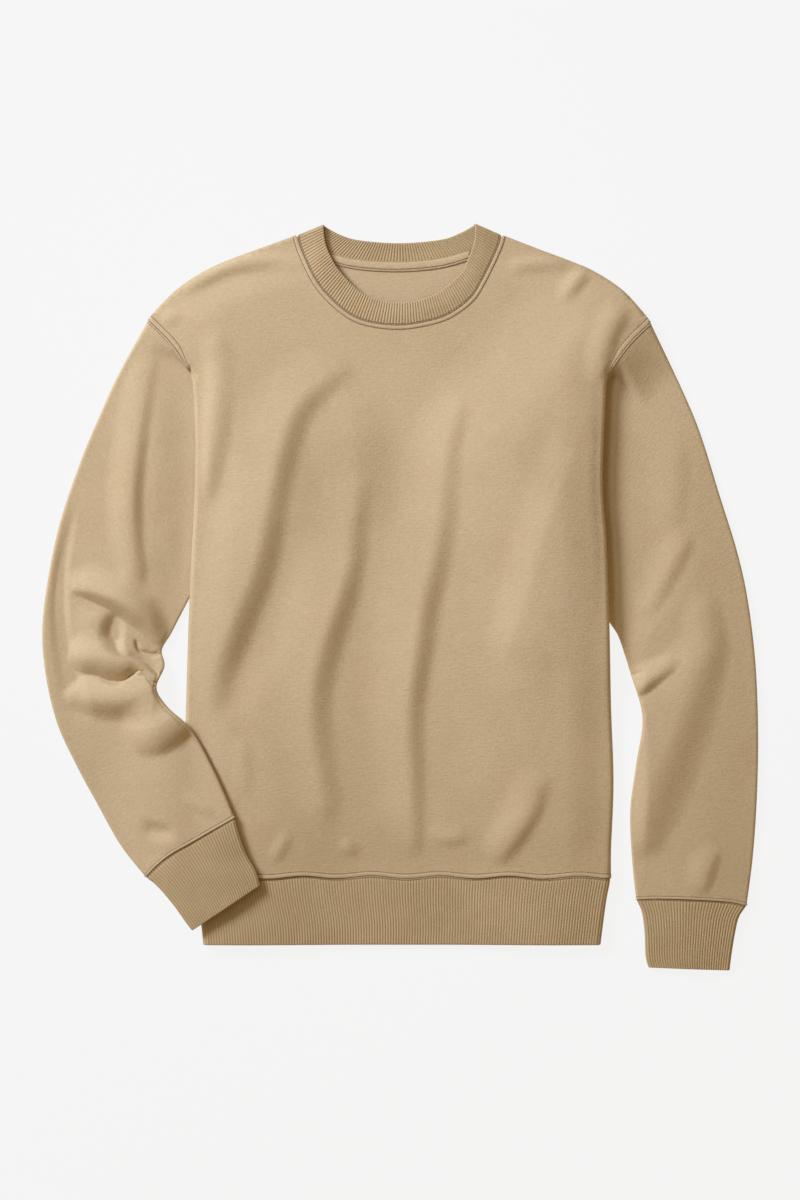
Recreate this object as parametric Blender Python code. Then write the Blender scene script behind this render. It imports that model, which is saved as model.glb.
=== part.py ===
# A crewneck sweatshirt lying flat on its back, seen from above along -Z.
# X runs across the garment, +Y towards its neck, and the surface it lies on is Z = 0.
# The sides of the body are turned under, so each side is four layers of cloth: front, back, back, front.
# "right" and "left" in names are the wearer's: the right sleeve is at -X. Sizes below are in millimetres.

import math

import bpy
from mathutils import Vector
from mathutils.geometry import delaunay_2d_cdt

MM = 0.001

# Walls and gaps
CLOTH = 2.0
RIB = 2.4
TAPE = 0.8
LAYER_GAP = 0.4
SEAM_GAP = 0.3
CLOTH_STEP = CLOTH + LAYER_GAP
RIB_STEP = RIB + LAYER_GAP

# The body
HEM_SEAM_Y = -280.0
HEM_BOTTOM_Y = -347.6
ARMPIT_Y = 145.0
STRIP_AT_ARMPIT = 75.0
STRIP_AT_HEM = 52.0
STRIP_AT_RIB = 36.0
OUTER_FOLD_R = 4.0
INNER_FOLD_R = 1.6
FOLD_INSET = OUTER_FOLD_R + CLOTH / 2
SLEEVE_STACK = 2 * CLOTH + 2 * LAYER_GAP + 0.2
DRAPE = 74.0
DRAPE_MARGIN = 6.0
BODY_AIR = 4.5
HEM_AIR = 1.2
HEM_INNER_FOLD_R = 1.45
EDGE_SOFTNESS = 48.0
SEAM_CLEARANCE = 2.5

# Sleeves and cuffs
SLEEVE_EDGE_PUFF = 3.6
SLEEVE_PUFF = 4.4
SLEEVE_SOFT_EDGE = 0.16
CUFF_PUFF = 1.6
CUFF_ROWS = (0.0, 0.18, 0.55, 1.0)
OPENS_BESIDE_BODY = (4.0, 36.0)
HEAD_OPENS_OVER = 60.0
HEAD_RISE_LENGTH = 55.0
HEAD_RISE_SHARES = (0.24, 0.07)
HEAD_TOP_REACH = 30.0
SEAM_REACH = 0.16
ON_TOP_MARGIN = 1.6
ON_TOP_REACH = (5.0, 40.0)
FOREARM_LEVELS_Y = (-50.0, -98.0)
FOREARM_OPENS_Y = (-60.0, -105.0)
HEM_STEP_ROWS = (4.0, 26.0)

# Ribs
RIB_PITCH = 2.85
RIB_RAISE = 0.5
RIB_EDGE = 0.9
NECK_RIB_HEIGHT = 23.0
NECK_FRONT_FADE = 0.05
NECK_BACK_FADE = 0.16

# The neck seam and its tape
BACK_NECK_CORNER = 2.4
CORNER_SHARE = 0.06
TAPE_WIDTH = 9.4
TAPE_SPAN = (0.17, 0.84)

# Spacing of the mesh
PANEL_STEP = 22.0
ROW_STEP = 19.0
STRIP_PARTS = 3
SLEEVE_STEP = 20.0
NECK_STEP = 7.5
TUBE_PARTS = (8, 3, 4, 3)
NECK_PARTS = (30, 3, 20, 3)
HEM_PARTS = (16, 4, 2, 3, 2, 3, 16, 3, 2, 3, 2, 4)

TAN = (0.50, 0.365, 0.205)
TAN_RIB = (0.47, 0.34, 0.19)

# Outlines, as x and y. Each runs from the first named place to the second.
SHOULDER_RIGHT = (  # neck to shoulder point
    (-104.2, 362.6),
    (-150.0, 345.7),
    (-190.0, 329.0),
    (-220.0, 310.4),
    (-240.0, 291.4),
    (-252.0, 277.4),
)
SHOULDER_LEFT = (
    (103.0, 362.6),
    (150.0, 344.4),
    (190.0, 328.4),
    (220.6, 308.7),
    (240.0, 287.9),
    (250.4, 274.8),
)
ARMHOLE_RIGHT = (  # shoulder point to the crease, then beneath the body to the armpit
    (-252.0, 277.4),
    (-234.0, 260.0),
    (-222.6, 246.4),
    (-210.0, 228.4),
    (-175.0, 183.0),
    (-132.0, ARMPIT_Y),
)
ARMHOLE_LEFT = (
    (250.4, 274.8),
    (232.6, 257.7),
    (221.2, 244.1),
    (206.5, 224.8),
    (172.0, 181.0),
    (128.0, ARMPIT_Y),
)
CREASE_RIGHT = (  # where the body's side turns under, from the armhole down to the rib's foot
    (-209.5, 228.4),
    (-206.0, 200.0),
    (-204.0, 138.4),
    (-206.3, 79.4),
    (-209.5, 14.4),
    (-214.5, -121.6),
    (-215.5, -182.6),
    (-213.0, -251.6),
    (-211.5, -278.0),
    (-206.0, -302.6),
    (-199.5, -326.0),
    (-197.2, -347.3),
)
CREASE_LEFT = (
    (206.0, 224.8),
    (204.6, 196.0),
    (201.5, 116.4),
    (205.4, 57.4),
    (208.3, -19.6),
    (210.6, -103.6),
    (213.5, -182.6),
    (211.0, -251.6),
    (210.6, -279.0),
    (206.6, -302.6),
    (203.2, -327.6),
    (200.6, -348.6),
)
FRONT_NECK = (  # right shoulder seam, round the front, to the left one
    (-102.8, 362.4),
    (-98.0, 346.0),
    (-85.0, 318.4),
    (-70.0, 299.4),
    (-50.0, 282.7),
    (-30.0, 274.9),
    (0.0, 271.9),
    (30.0, 276.4),
    (50.0, 283.6),
    (70.0, 298.4),
    (80.0, 313.4),
    (90.0, 333.0),
    (98.8, 352.9),
    (101.4, 362.6),
)
FRONT_RIM = (
    (-76.6, 372.5),
    (-75.0, 356.4),
    (-70.0, 342.4),
    (-60.0, 326.1),
    (-40.0, 306.1),
    (-20.0, 296.6),
    (0.0, 294.9),
    (20.0, 297.5),
    (40.0, 306.1),
    (60.0, 323.4),
    (66.7, 335.6),
    (74.2, 356.4),
    (74.9, 373.4),
)
BACK_NECK = (
    (-102.8, 362.4),
    (-86.0, 351.5),
    (-67.0, 343.4),
    (-40.0, 337.6),
    (0.0, 335.6),
    (40.0, 339.1),
    (71.0, 347.7),
    (88.0, 355.0),
    (101.4, 362.6),
)
BACK_RIM = (
    (-76.6, 372.5),
    (-60.0, 363.4),
    (-40.0, 357.8),
    (0.0, 355.0),
    (40.0, 358.4),
    (60.0, 365.1),
    (74.9, 373.4),
)
CUFF_SEAM_RIGHT = (  # outer edge to inner edge
    (-254.0, -279.6),
    (-242.0, -267.2),
    (-228.0, -256.0),
    (-208.0, -244.6),
    (-177.5, -227.1),
    (-164.3, -219.6),
)
CUFF_SEAM_LEFT = (
    (347.0, -308.8),
    (330.0, -305.0),
    (298.0, -302.6),
    (259.0, -301.6),
    (236.4, -302.6),
)

# Sleeves: outer edge and inner edge of each station, from the armhole to the cuff
SLEEVE_RIGHT = (
    # outer x, outer y, inner x, inner y
    (-252.0, 277.4, -132.0, 145.0),
    (-280.0, 227.4, -155.0, 103.4),
    (-300.0, 184.4, -178.0, 61.4),
    (-320.0, 136.4, -195.0, 29.4),
    (-340.0, 77.4, -214.0, -6.6),
    (-351.5, 25.4, -229.0, -35.6),
    (-358.3, -28.6, -238.6, -53.0),
    (-355.5, -74.6, -235.6, -68.6),
    (-344.0, -124.6, -243.0, -90.0),
    (-325.0, -166.6, -232.0, -109.0),
    (-304.0, -205.6, -208.0, -132.0),
    (-280.0, -247.6, -184.0, -175.0),
    (-254.0, -279.6, -164.3, -219.6),
)
SLEEVE_LEFT = (
    (250.4, 274.8, 128.0, 145.0),
    (280.0, 213.4, 152.0, 97.4),
    (300.0, 165.9, 174.0, 56.4),
    (320.0, 102.4, 194.0, 15.4),
    (337.0, 48.0, 207.0, -20.0),
    (347.5, 2.0, 219.0, -40.0),
    (354.8, -52.6, 231.5, -78.6),
    (358.0, -103.6, 242.5, -120.0),
    (358.6, -158.6, 236.5, -165.6),
    (356.8, -212.6, 230.5, -212.6),
    (353.0, -262.6, 232.0, -258.0),
    (347.0, -308.8, 236.4, -302.6),
)
CUFF_RIGHT = (
    (-254.0, -279.6, -164.3, -219.6),
    (-242.0, -289.0, -161.5, -231.6),
    (-226.0, -307.6, -154.0, -253.6),
    (-213.0, -325.6, -143.5, -273.0),
    (-207.6, -332.4, -139.6, -287.0),
)
CUFF_LEFT = (
    (347.0, -308.8, 236.4, -302.6),
    (339.6, -319.6, 241.8, -314.6),
    (335.2, -338.6, 244.6, -335.6),
    (332.0, -358.6, 245.6, -359.6),
    (330.2, -373.4, 248.6, -370.4),
)

# Folds of the front: a soft trough (depth below 0) or ridge along a bent line
FRONT_FOLDS = (
    # start x, start y, middle x, middle y, end x, end y, half width, height
    (-48.0, 234.0, -120.0, 112.0, -178.0, -69.0, 34.0, -3.6),
    (-122.0, 214.0, -150.0, 150.0, -168.0, 86.0, 26.0, 2.4),
    (-178.0, 247.0, -176.0, 170.0, -183.0, 106.0, 24.0, -2.6),
    (-35.0, 130.0, -60.0, -20.0, -71.0, -205.0, 34.0, -3.2),
    (-8.0, 150.0, -24.0, -20.0, -34.0, -190.0, 32.0, 1.8),
    (60.0, 190.0, 38.0, 10.0, 15.0, -240.0, 32.0, -3.2),
    (88.0, 170.0, 80.0, 60.0, 62.0, -60.0, 30.0, 1.8),
    (140.0, 66.0, 129.0, 8.0, 118.0, -46.0, 22.0, -3.4),
    (122.0, 84.0, 106.0, 6.0, 86.0, -52.0, 20.0, 2.6),
    (136.0, -196.0, 122.0, -228.0, 104.0, -264.0, 20.0, -3.0),
    (148.0, -160.0, 149.0, -215.0, 147.0, -272.0, 20.0, 2.2),
)
SHOULDER_FOLDS = (
    (-219.0, 296.0, -170.0, 318.0, -113.0, 338.0, 20.0, -1.6),
    (128.0, 322.0, 160.0, 316.0, 190.0, 300.0, 18.0, -1.4),
    (226.0, 284.0, 213.0, 252.0, 206.0, 236.0, 20.0, -1.8),
)
SLEEVE_RIGHT_FOLDS = (
    (-246.0, 226.0, -261.0, 116.0, -256.0, 6.0, 26.0, -3.6),
    (-332.0, 2.0, -296.0, 0.0, -250.0, -32.0, 17.0, -3.6),
    (-292.0, -14.0, -292.0, -50.0, -240.0, -80.0, 16.0, -4.4),
    (-322.0, -60.0, -272.0, -78.0, -246.0, -92.0, 16.0, 3.0),
    (-318.0, -90.0, -278.0, -122.0, -240.0, -126.0, 18.0, -3.6),
    (-268.0, -150.0, -236.0, -158.0, -208.0, -140.0, 18.0, -2.4),
    (-336.0, 50.0, -342.0, -20.0, -338.0, -100.0, 18.0, 2.2),
)
SLEEVE_LEFT_FOLDS = (
    (290.0, 40.0, 270.0, 14.0, 252.0, -18.0, 22.0, -2.6),
    (317.0, -2.0, 316.0, -22.0, 313.0, -46.0, 20.0, -2.4),
    (234.0, -92.0, 254.0, -92.0, 275.0, -72.0, 16.0, -3.2),
    (318.0, -52.0, 284.0, -142.0, 250.0, -258.0, 30.0, -3.6),
    (316.0, -262.0, 312.0, -280.0, 304.0, -298.0, 18.0, -2.4),
    (336.0, -20.0, 340.0, -110.0, 334.0, -210.0, 22.0, 1.8),
)


def clamp(value, low=0.0, high=1.0):
    return max(low, min(high, value))


def mix(a, b, share):
    return a + (b - a) * share


def ease(low, high, value):
    """0 below low, 1 above high, and an S between them."""
    share = clamp((value - low) / (high - low))
    return share * share * (3 - 2 * share)


# Plane curves -----------------------------------------------------------------------------------


def spline_point(points, place):
    """A Catmull-Rom curve through points, at place counted in points from the first."""
    index = min(int(place), len(points) - 2)
    t = place - index
    a = points[max(index - 1, 0)]
    b = points[index]
    c = points[index + 1]
    d = points[min(index + 2, len(points) - 1)]
    made = []
    for p, q, r, s in zip(a, b, c, d):
        bend = (2 * p - 5 * q + 4 * r - s) * t * t + (3 * q - p - 3 * r + s) * t ** 3
        made.append(q + 0.5 * ((r - p) * t + bend))
    return tuple(made)


class Curve:
    """A smooth curve through points, read by its share of length."""

    def __init__(self, points, pieces=8):
        count = (len(points) - 1) * pieces
        self.dense = [spline_point(points, i / pieces) for i in range(count + 1)]
        self.lengths = [0.0]
        for a, b in zip(self.dense, self.dense[1:]):
            self.lengths.append(self.lengths[-1] + math.dist(a[:2], b[:2]))
        self.length = self.lengths[-1]

    def at(self, share):
        wanted = clamp(share) * self.length
        low = 0
        high = len(self.lengths) - 1
        while high - low > 1:
            middle = (low + high) // 2
            if self.lengths[middle] <= wanted:
                low = middle
            else:
                high = middle
        span = self.lengths[high] - self.lengths[low]
        t = (wanted - self.lengths[low]) / span
        return tuple(mix(a, b, t) for a, b in zip(self.dense[low], self.dense[high]))

    def spaced(self, step, start=0.0, end=1.0):
        count = max(2, round(self.length * (end - start) / step))
        return [self.at(mix(start, end, i / count)) for i in range(count + 1)]


def distance_to_line(x, y, line):
    """The distance to a run of straight pieces, and how far along it the nearest point lies, 0 to 1."""
    best = 1e9
    best_at = 0.0
    last = len(line) - 1
    for i in range(last):
        ax, ay = line[i][:2]
        bx, by = line[i + 1][:2]
        dx = bx - ax
        dy = by - ay
        t = clamp(((x - ax) * dx + (y - ay) * dy) / max(dx * dx + dy * dy, 1e-9))
        away = math.hypot(x - ax - dx * t, y - ay - dy * t)
        if away < best:
            best = away
            best_at = (i + t) / last
    return best, best_at


def is_inside(x, y, outline):
    inside = False
    for (ax, ay), (bx, by) in zip(outline, outline[1:] + outline[:1]):
        if (ay > y) != (by > y) and x < ax + (y - ay) * (bx - ax) / (by - ay):
            inside = not inside
    return inside


def distance_outside(x, y, outline):
    if is_inside(x, y, outline):
        return 0.0
    return distance_to_line(x, y, outline + outline[:1])[0]


class Side:
    """One side of the body. sign is -1 at the wearer's right and 1 at the left."""

    def __init__(self, sign, crease, armhole, sleeve, emerges_y):
        self.sign = sign
        self.crease = crease
        self.top_y = crease[0][1]
        self.armhole = Curve(armhole)
        self.sleeve = sleeve
        armpit = armhole[-1]
        hem_x = sign * (abs(self.crease_x(HEM_BOTTOM_Y)) - STRIP_AT_RIB)
        edge = [(self.crease_x(y), y) for y in range(int(self.top_y), int(HEM_BOTTOM_Y), -40)]
        self.strip_outline = [armhole[3], armhole[4], armpit, (hem_x, HEM_BOTTOM_Y - 40)]
        self.strip_outline += [(self.crease_x(HEM_BOTTOM_Y), HEM_BOTTOM_Y - 40)] + edge[::-1]
        inner = [(row[2], row[3]) for row in sleeve if row[3] > emerges_y]
        hidden_edge = [(self.crease_x(y), y) for y in range(int(emerges_y), int(self.top_y), 30)]
        self.covered_outline = [armhole[3], armhole[4]] + inner
        self.covered_outline += [(self.crease_x(emerges_y), emerges_y)] + hidden_edge

    def crease_x(self, y):
        """Where the cloth turns under at y. It runs off to the side above the armhole, where nothing turns."""
        rows = self.crease
        if y >= rows[0][1]:
            return rows[0][0] + self.sign * 3.0 * (y - rows[0][1])
        if y <= rows[-1][1]:
            return rows[-1][0]
        for i in range(len(rows) - 1):
            if rows[i + 1][1] <= y:
                share = (rows[i][1] - y) / (rows[i][1] - rows[i + 1][1])
                return spline_point(rows, i + share)[0]

    def strip_width(self, y):
        width = mix(STRIP_AT_HEM, STRIP_AT_ARMPIT, clamp((y - HEM_SEAM_Y) / (ARMPIT_Y - HEM_SEAM_Y)))
        return mix(STRIP_AT_RIB, width, ease(HEM_SEAM_Y, HEM_SEAM_Y + 50, y))


def half_share(distance):
    """How much of a layer's height is left at this distance from its edge."""
    return 1 - ease(DRAPE_MARGIN, DRAPE_MARGIN + DRAPE, distance)


RIGHT = Side(-1, CREASE_RIGHT, ARMHOLE_RIGHT, SLEEVE_RIGHT, 2.0)
LEFT = Side(1, CREASE_LEFT, ARMHOLE_LEFT, SLEEVE_LEFT, -24.0)
SIDES = (RIGHT, LEFT)


def side_of(x):
    return RIGHT if x < 0 else LEFT


def folds_at(x, y, folds):
    """The height that the soft folds add at a point."""
    total = 0.0
    for ax, ay, bx, by, cx, cy, width, height in folds:
        low_x = min(ax, bx, cx) - width
        high_x = max(ax, bx, cx) + width
        low_y = min(ay, by, cy) - width
        high_y = max(ay, by, cy) + width
        if not (low_x < x < high_x and low_y < y < high_y):
            continue
        line = [spline_point(((ax, ay), (bx, by), (cx, cy)), i / 5) for i in range(11)]
        away, along = distance_to_line(x, y, line)
        if away < width:
            ends = ease(0, 0.25, along) * ease(0, 0.25, 1 - along)
            total += height * ends * 0.5 * (1 + math.cos(math.pi * away / width))
    return total


# Heights of the layers, at the middle of each wall ------------------------------------------------

SILHOUETTE = (
    Curve(CREASE_RIGHT).spaced(40)[::-1]
    + [point[:2] for point in ARMHOLE_RIGHT[3::-1]]
    + Curve(SHOULDER_RIGHT).spaced(30)[::-1],
    Curve(CREASE_LEFT).spaced(40)[::-1]
    + [point[:2] for point in ARMHOLE_LEFT[3::-1]]
    + Curve(SHOULDER_LEFT).spaced(30)[::-1],
)


def sleeve_beneath(x, y):
    """The height that the sleeve under the body's side takes up."""
    return SLEEVE_STACK * half_share(distance_outside(x, y, side_of(x).covered_outline))


def front_strip_z(x, y):
    return sleeve_beneath(x, y) + CLOTH / 2


def back_strip_z(x, y):
    return front_strip_z(x, y) + CLOTH_STEP


def back_z(x, y):
    strips = 2 * CLOTH_STEP - LAYER_GAP + (2 * INNER_FOLD_R - CLOTH)
    share = half_share(distance_outside(x, y, side_of(x).strip_outline))
    return CLOTH / 2 + strips * share + sleeve_beneath(x, y) + LAYER_GAP * share


def front_air(x, y):
    """The air between front and back, none at the silhouette."""
    away = distance_to_line(x, y, SILHOUETTE[0 if x < 0 else 1])[0]
    soft = ease(0, EDGE_SOFTNESS, away)
    low = 1 - 0.75 * ease(HEM_SEAM_Y + 60, HEM_SEAM_Y, y)
    air = BODY_AIR * soft * low
    return max(0.0, air + folds_at(x, y, FRONT_FOLDS) * soft + folds_at(x, y, SHOULDER_FOLDS))


def front_z(x, y):
    return back_z(x, y) + CLOTH_STEP + front_air(x, y)


# Meshes -------------------------------------------------------------------------------------------


def material(name, colour, roughness):
    made = bpy.data.materials.new(name)
    made.use_nodes = True
    shader = made.node_tree.nodes["Principled BSDF"]
    shader.inputs["Base Color"].default_value = (*colour, 1.0)
    shader.inputs["Roughness"].default_value = roughness
    shader.inputs["Metallic"].default_value = 0.0
    return made


def add_object(name, points, faces, surface):
    mesh = bpy.data.meshes.new(name)
    mesh.from_pydata([point * MM for point in points], [], faces)
    mesh.validate()
    mesh.shade_smooth()
    mesh.materials.append(surface)
    made = bpy.data.objects.new(name, mesh)
    bpy.context.scene.collection.objects.link(made)
    return made


def normal_of(place, u, v, step_u, step_v):
    along = place(u + step_u, v) - place(u - step_u, v)
    across = place(u, v + step_v) - place(u, v - step_v)
    return along.cross(across).normalized()


def rim_faces(triangles, count):
    """The faces that join a sheet's points to its copy, count points further on."""
    edges = set()
    for a, b, c in triangles:
        edges |= {(a, b), (b, c), (c, a)}
    return [(b, a, a + count, b + count) for a, b in sorted(edges) if (b, a) not in edges]


def add_sheet(name, outline, inside, place, wall, surface, upward=True):
    """A wall over a flat outline: place puts each flat point at the middle of the wall."""
    flat = [Vector(point) for point in outline + inside]
    ring = [(i, (i + 1) % len(outline)) for i in range(len(outline))]
    made = delaunay_2d_cdt(flat, ring, [list(range(len(outline)))], 1, 1e-4)
    flat = [tuple(point) for point in made[0]]
    triangles = []
    for face in made[2]:
        a, b, c = (flat[i] for i in face)
        turn = (b[0] - a[0]) * (c[1] - a[1]) - (b[1] - a[1]) * (c[0] - a[0])
        triangles.append(tuple(face) if turn > 0 else tuple(reversed(face)))
    used = sorted({i for face in triangles for i in face})
    index = {old: new for new, old in enumerate(used)}
    triangles = [tuple(index[i] for i in face) for face in triangles]
    over = []
    under = []
    for old in used:
        x, y = flat[old]
        point = place(x, y)
        out = normal_of(place, x, y, 0.05, 0.05) * wall / 2
        over.append(point + out)
        under.append(point - out)
    count = len(used)
    faces = triangles + [tuple(i + count for i in reversed(face)) for face in triangles]
    faces += rim_faces(triangles, count)
    return add_object(name, over + under, faces, surface)


def zip_rings(first, second, first_at, second_at):
    """Triangles between two closed rings of point numbers, matched by their places along the ring."""
    faces = []
    i = 0
    j = 0
    n = len(first)
    m = len(second)
    while i < n or j < m:
        next_i = first_at[i + 1] if i + 1 < n else 1e9 if i >= n else first_at[0] + 1e6
        next_j = second_at[j + 1] if j + 1 < m else 1e9 if j >= m else second_at[0] + 1e6
        if i < n and (next_i <= next_j or j >= m):
            faces.append((first[i % n], first[(i + 1) % n], second[j % m]))
            i += 1
        else:
            faces.append((first[i % n], second[(j + 1) % m], second[j % m]))
            j += 1
    return faces


def add_tube(name, place, rows, outer, inner, wall, surface, flip, edge=None):
    """A closed band. place(u, v) is the middle of the wall, u goes round and v along it.

    outer and inner list each skin's columns as (u, raise). edge is how far the last row's
    rim bulges, as (v, columns) of a doubled edge.
    """
    points = []

    def outward(u, v):
        """Out of the wall. At an end it stays in line with the seam, so that the end is cut square."""
        out = normal_of(place, u, v, 1e-3, 1e-3) * (-1 if flip else 1)
        if v in (rows[0], rows[-1]):
            run = place(u + 1e-3, v) - place(u - 1e-3, v)
            if run.xy.length > 0.2 * run.length:
                beside = Vector((-run.y, run.x, 0)).normalized()
                out = (out - beside * out.dot(beside)).normalized()
        return out

    def skin(columns, side):
        rings = []
        for v in rows:
            ring = []
            for u, raised in columns:
                out = outward(u, v)
                points.append(place(u, v) + out * side * (wall / 2 + raised))
                ring.append(len(points) - 1)
            rings.append(ring)
        return rings

    outside = skin(outer, 1)
    inside = skin(inner, -1)
    outer_at = [column[0] for column in outer]
    inner_at = [column[0] for column in inner]
    faces = []
    for low, high in zip(outside, outside[1:]):
        for i in range(len(low)):
            j = (i + 1) % len(low)
            faces.append((low[i], low[j], high[j], high[i]))
    for low, high in zip(inside, inside[1:]):
        for i in range(len(low)):
            j = (i + 1) % len(low)
            faces.append((low[j], low[i], high[i], high[j]))
    faces += [tuple(reversed(face)) for face in zip_rings(outside[0], inside[0], outer_at, inner_at)]
    last = outside[-1]
    last_at = outer_at
    if edge is not None:
        ring = []
        for u, _ in inner:
            points.append(place(u, edge))
            ring.append(len(points) - 1)
        faces += zip_rings(last, ring, last_at, inner_at)
        last = ring
        last_at = inner_at
    faces += zip_rings(last, inside[-1], last_at, inner_at)
    if flip:
        faces = [tuple(reversed(face)) for face in faces]
    return add_object(name, points, faces, surface)


def grid_inside(outline, step, keep_out, share=0.5):
    """Points of a triangular grid inside an outline, clear of it and of the points in keep_out."""
    low_x = min(point[0] for point in outline)
    high_x = max(point[0] for point in outline)
    low_y = min(point[1] for point in outline)
    high_y = max(point[1] for point in outline)
    closed = outline + outline[:1]
    cells = {}
    for x, y in keep_out:
        cells.setdefault((int(x // step), int(y // step)), []).append((x, y))
    rise = step * math.sqrt(3) / 2
    found = []
    for j in range(int((high_y - low_y) / rise) + 1):
        y = low_y + (j + 0.5) * rise
        for i in range(int((high_x - low_x) / step) + 1):
            x = low_x + (i + 0.25 + 0.5 * (j % 2)) * step
            near = []
            for a in (-1, 0, 1):
                for b in (-1, 0, 1):
                    near += cells.get((int(x // step) + a, int(y // step) + b), [])
            if any(math.dist((x, y), other) < share * step for other in near):
                continue
            if is_inside(x, y, outline) and distance_to_line(x, y, closed)[0] > share * step:
                found.append((x, y))
    return found


# Front and back ---------------------------------------------------------------------------------


class Panel:
    """A body panel, flat as it is cut, and as it lies with its sides turned under."""

    def __init__(self, top, strip, radius, turns):
        self.top = top
        self.strip = strip
        self.radius = radius
        self.turns = turns

    def place(self, x, y):
        side = side_of(x)
        m = side.sign * x
        start = side.sign * side.crease_x(y) - FOLD_INSET
        if m <= start:
            return Vector((x, y, self.top(x, y)))
        centre_x = side.sign * start
        high = self.top(centre_x, y)
        low = self.strip(centre_x, y)
        radius = (high - low) / 2
        round_length = math.pi * radius
        beyond = m - start
        if beyond < round_length:
            turn = beyond / radius
            m = start + radius * math.sin(turn)
            return Vector((side.sign * m, y, (high + low) / 2 + radius * math.cos(turn)))
        m = start - (beyond - round_length)
        return Vector((side.sign * m, y, self.strip(side.sign * m, y)))

    def turn_places(self, side, y):
        """The x of each line of points round the fold at y."""
        start = side.sign * side.crease_x(y) - FOLD_INSET
        length = math.pi * self.radius
        return [side.sign * (start + length * i / self.turns) for i in range(self.turns + 1)]

    def seam_x(self, side, y):
        start = side.sign * side.crease_x(y) - FOLD_INSET
        return side.sign * (start + math.pi * self.radius + side.strip_width(y))

    def unfolded(self, side, x, y):
        """Flat x of a point that lies beneath the body at x."""
        start = side.sign * side.crease_x(y) - FOLD_INSET
        return side.sign * (start + math.pi * self.radius + start - side.sign * x)

    def armhole(self, side):
        """Flat points from the shoulder point to the armpit, with one at each line round the fold."""
        curve = side.armhole
        points = []
        crossing = 0.0
        for i in range(401):
            x, y = curve.at(i / 400)
            if y >= side.top_y + 1.0:
                points.append((x, y))
                crossing = i / 400
        last_x, last_y = points[-1]
        visible = Curve(points, 1).spaced(11)
        depth = 5.0
        lines = []
        for k in range(1, self.turns + 1):
            y = last_y - 2.0 - depth * k / self.turns
            lines.append((self.turn_places(side, y)[k], y))
        hidden = []
        for i in range(1, 7):
            x, y = curve.at(mix(crossing + 0.06, 1.0, i / 6))
            hidden.append((self.unfolded(side, x, y), y))
        return visible + lines + hidden

    def outline(self, neck):
        """Counter-clockwise from the left shoulder seam at the neck."""
        left_arm = self.armhole(LEFT)
        right_arm = self.armhole(RIGHT)
        left_seam = [(self.seam_x(LEFT, y), y) for y in self.rows(LEFT) if y < ARMPIT_Y - 8]
        right_seam = [(self.seam_x(RIGHT, y), y) for y in self.rows(RIGHT) if y < ARMPIT_Y - 8]
        hem = self.across(HEM_SEAM_Y + SEAM_GAP)
        shoulder_right = Curve(SHOULDER_RIGHT).spaced(20)
        shoulder_left = Curve(SHOULDER_LEFT).spaced(20)
        neck_points = neck.spaced(NECK_STEP)
        points = neck_points[1:-1]
        points += shoulder_left[:-1]
        points += left_arm + left_seam
        points += hem[::-1]
        points += right_seam[::-1] + right_arm[::-1]
        points += shoulder_right[::-1][1:]
        return points[::-1]

    def across(self, y):
        """Flat x places at y, from the right side seam to the left one."""
        right = self.turn_places(RIGHT, y)
        left = self.turn_places(LEFT, y)
        xs = [self.seam_x(RIGHT, y)] + self.strip_places(RIGHT, y)[::-1] + right[::-1]
        count = round((left[0] - right[0]) / PANEL_STEP)
        xs += [mix(right[0], left[0], i / count) for i in range(1, count)]
        xs += left + self.strip_places(LEFT, y) + [self.seam_x(LEFT, y)]
        return [(x, y) for x in xs]

    def strip_places(self, side, y):
        """The x of each line of points along the strip beneath, between its fold and its seam."""
        start = self.turn_places(side, y)[-1]
        return [mix(start, self.seam_x(side, y), i / STRIP_PARTS) for i in range(1, STRIP_PARTS)]

    def rows(self, side):
        high = side.top_y - 14.0
        count = round((high - HEM_SEAM_Y) / ROW_STEP)
        return [mix(high, HEM_SEAM_Y + 12, i / count) for i in range(count + 1)]

    def fold_lines(self):
        """Points along the lines round both folds, in rows down the body."""
        points = []
        for side in SIDES:
            for y in self.rows(side):
                points += [(x, y) for x in self.turn_places(side, y)]
                points += [(x, y) for x in self.strip_places(side, y)]
        return points

    def is_on_top(self, x, y):
        side = side_of(x)
        return side.sign * x < side.sign * side.crease_x(y) - FOLD_INSET


FRONT = Panel(front_z, front_strip_z, OUTER_FOLD_R, 5)
BACK = Panel(back_z, back_strip_z, INNER_FOLD_R, 3)


def neck_cut(points, corner=0.0):
    """A panel's neckline: a seam's gap outside the neckband's edge, and clear of its folds at the ends."""
    curve = Curve(points)
    moved = []
    for i in range(41):
        x, y = curve.at(i / 40)
        gap = SEAM_GAP + corner * (1 - ease(0, CORNER_SHARE, min(i, 40 - i) / 40))
        ahead = curve.at(i / 40 + 0.01)
        behind = curve.at(i / 40 - 0.01)
        dx = ahead[0] - behind[0]
        dy = ahead[1] - behind[1]
        length = math.hypot(dx, dy)
        moved.append((x + gap * dy / length, y - gap * dx / length))
    return Curve(moved, 1)


def add_panel(name, panel, neck, surface):
    outline = panel.outline(neck)
    lines = [point for point in panel.fold_lines() if is_inside(*point, outline)]
    closed = outline + outline[:1]
    lines = [point for point in lines if distance_to_line(*point, closed)[0] > SEAM_CLEARANCE]
    grid = [point for point in grid_inside(outline, PANEL_STEP, lines) if panel.is_on_top(*point)]
    return add_sheet(name, outline, lines + grid, panel.place, CLOTH, surface)


# Sleeves and cuffs ------------------------------------------------------------------------------


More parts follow.
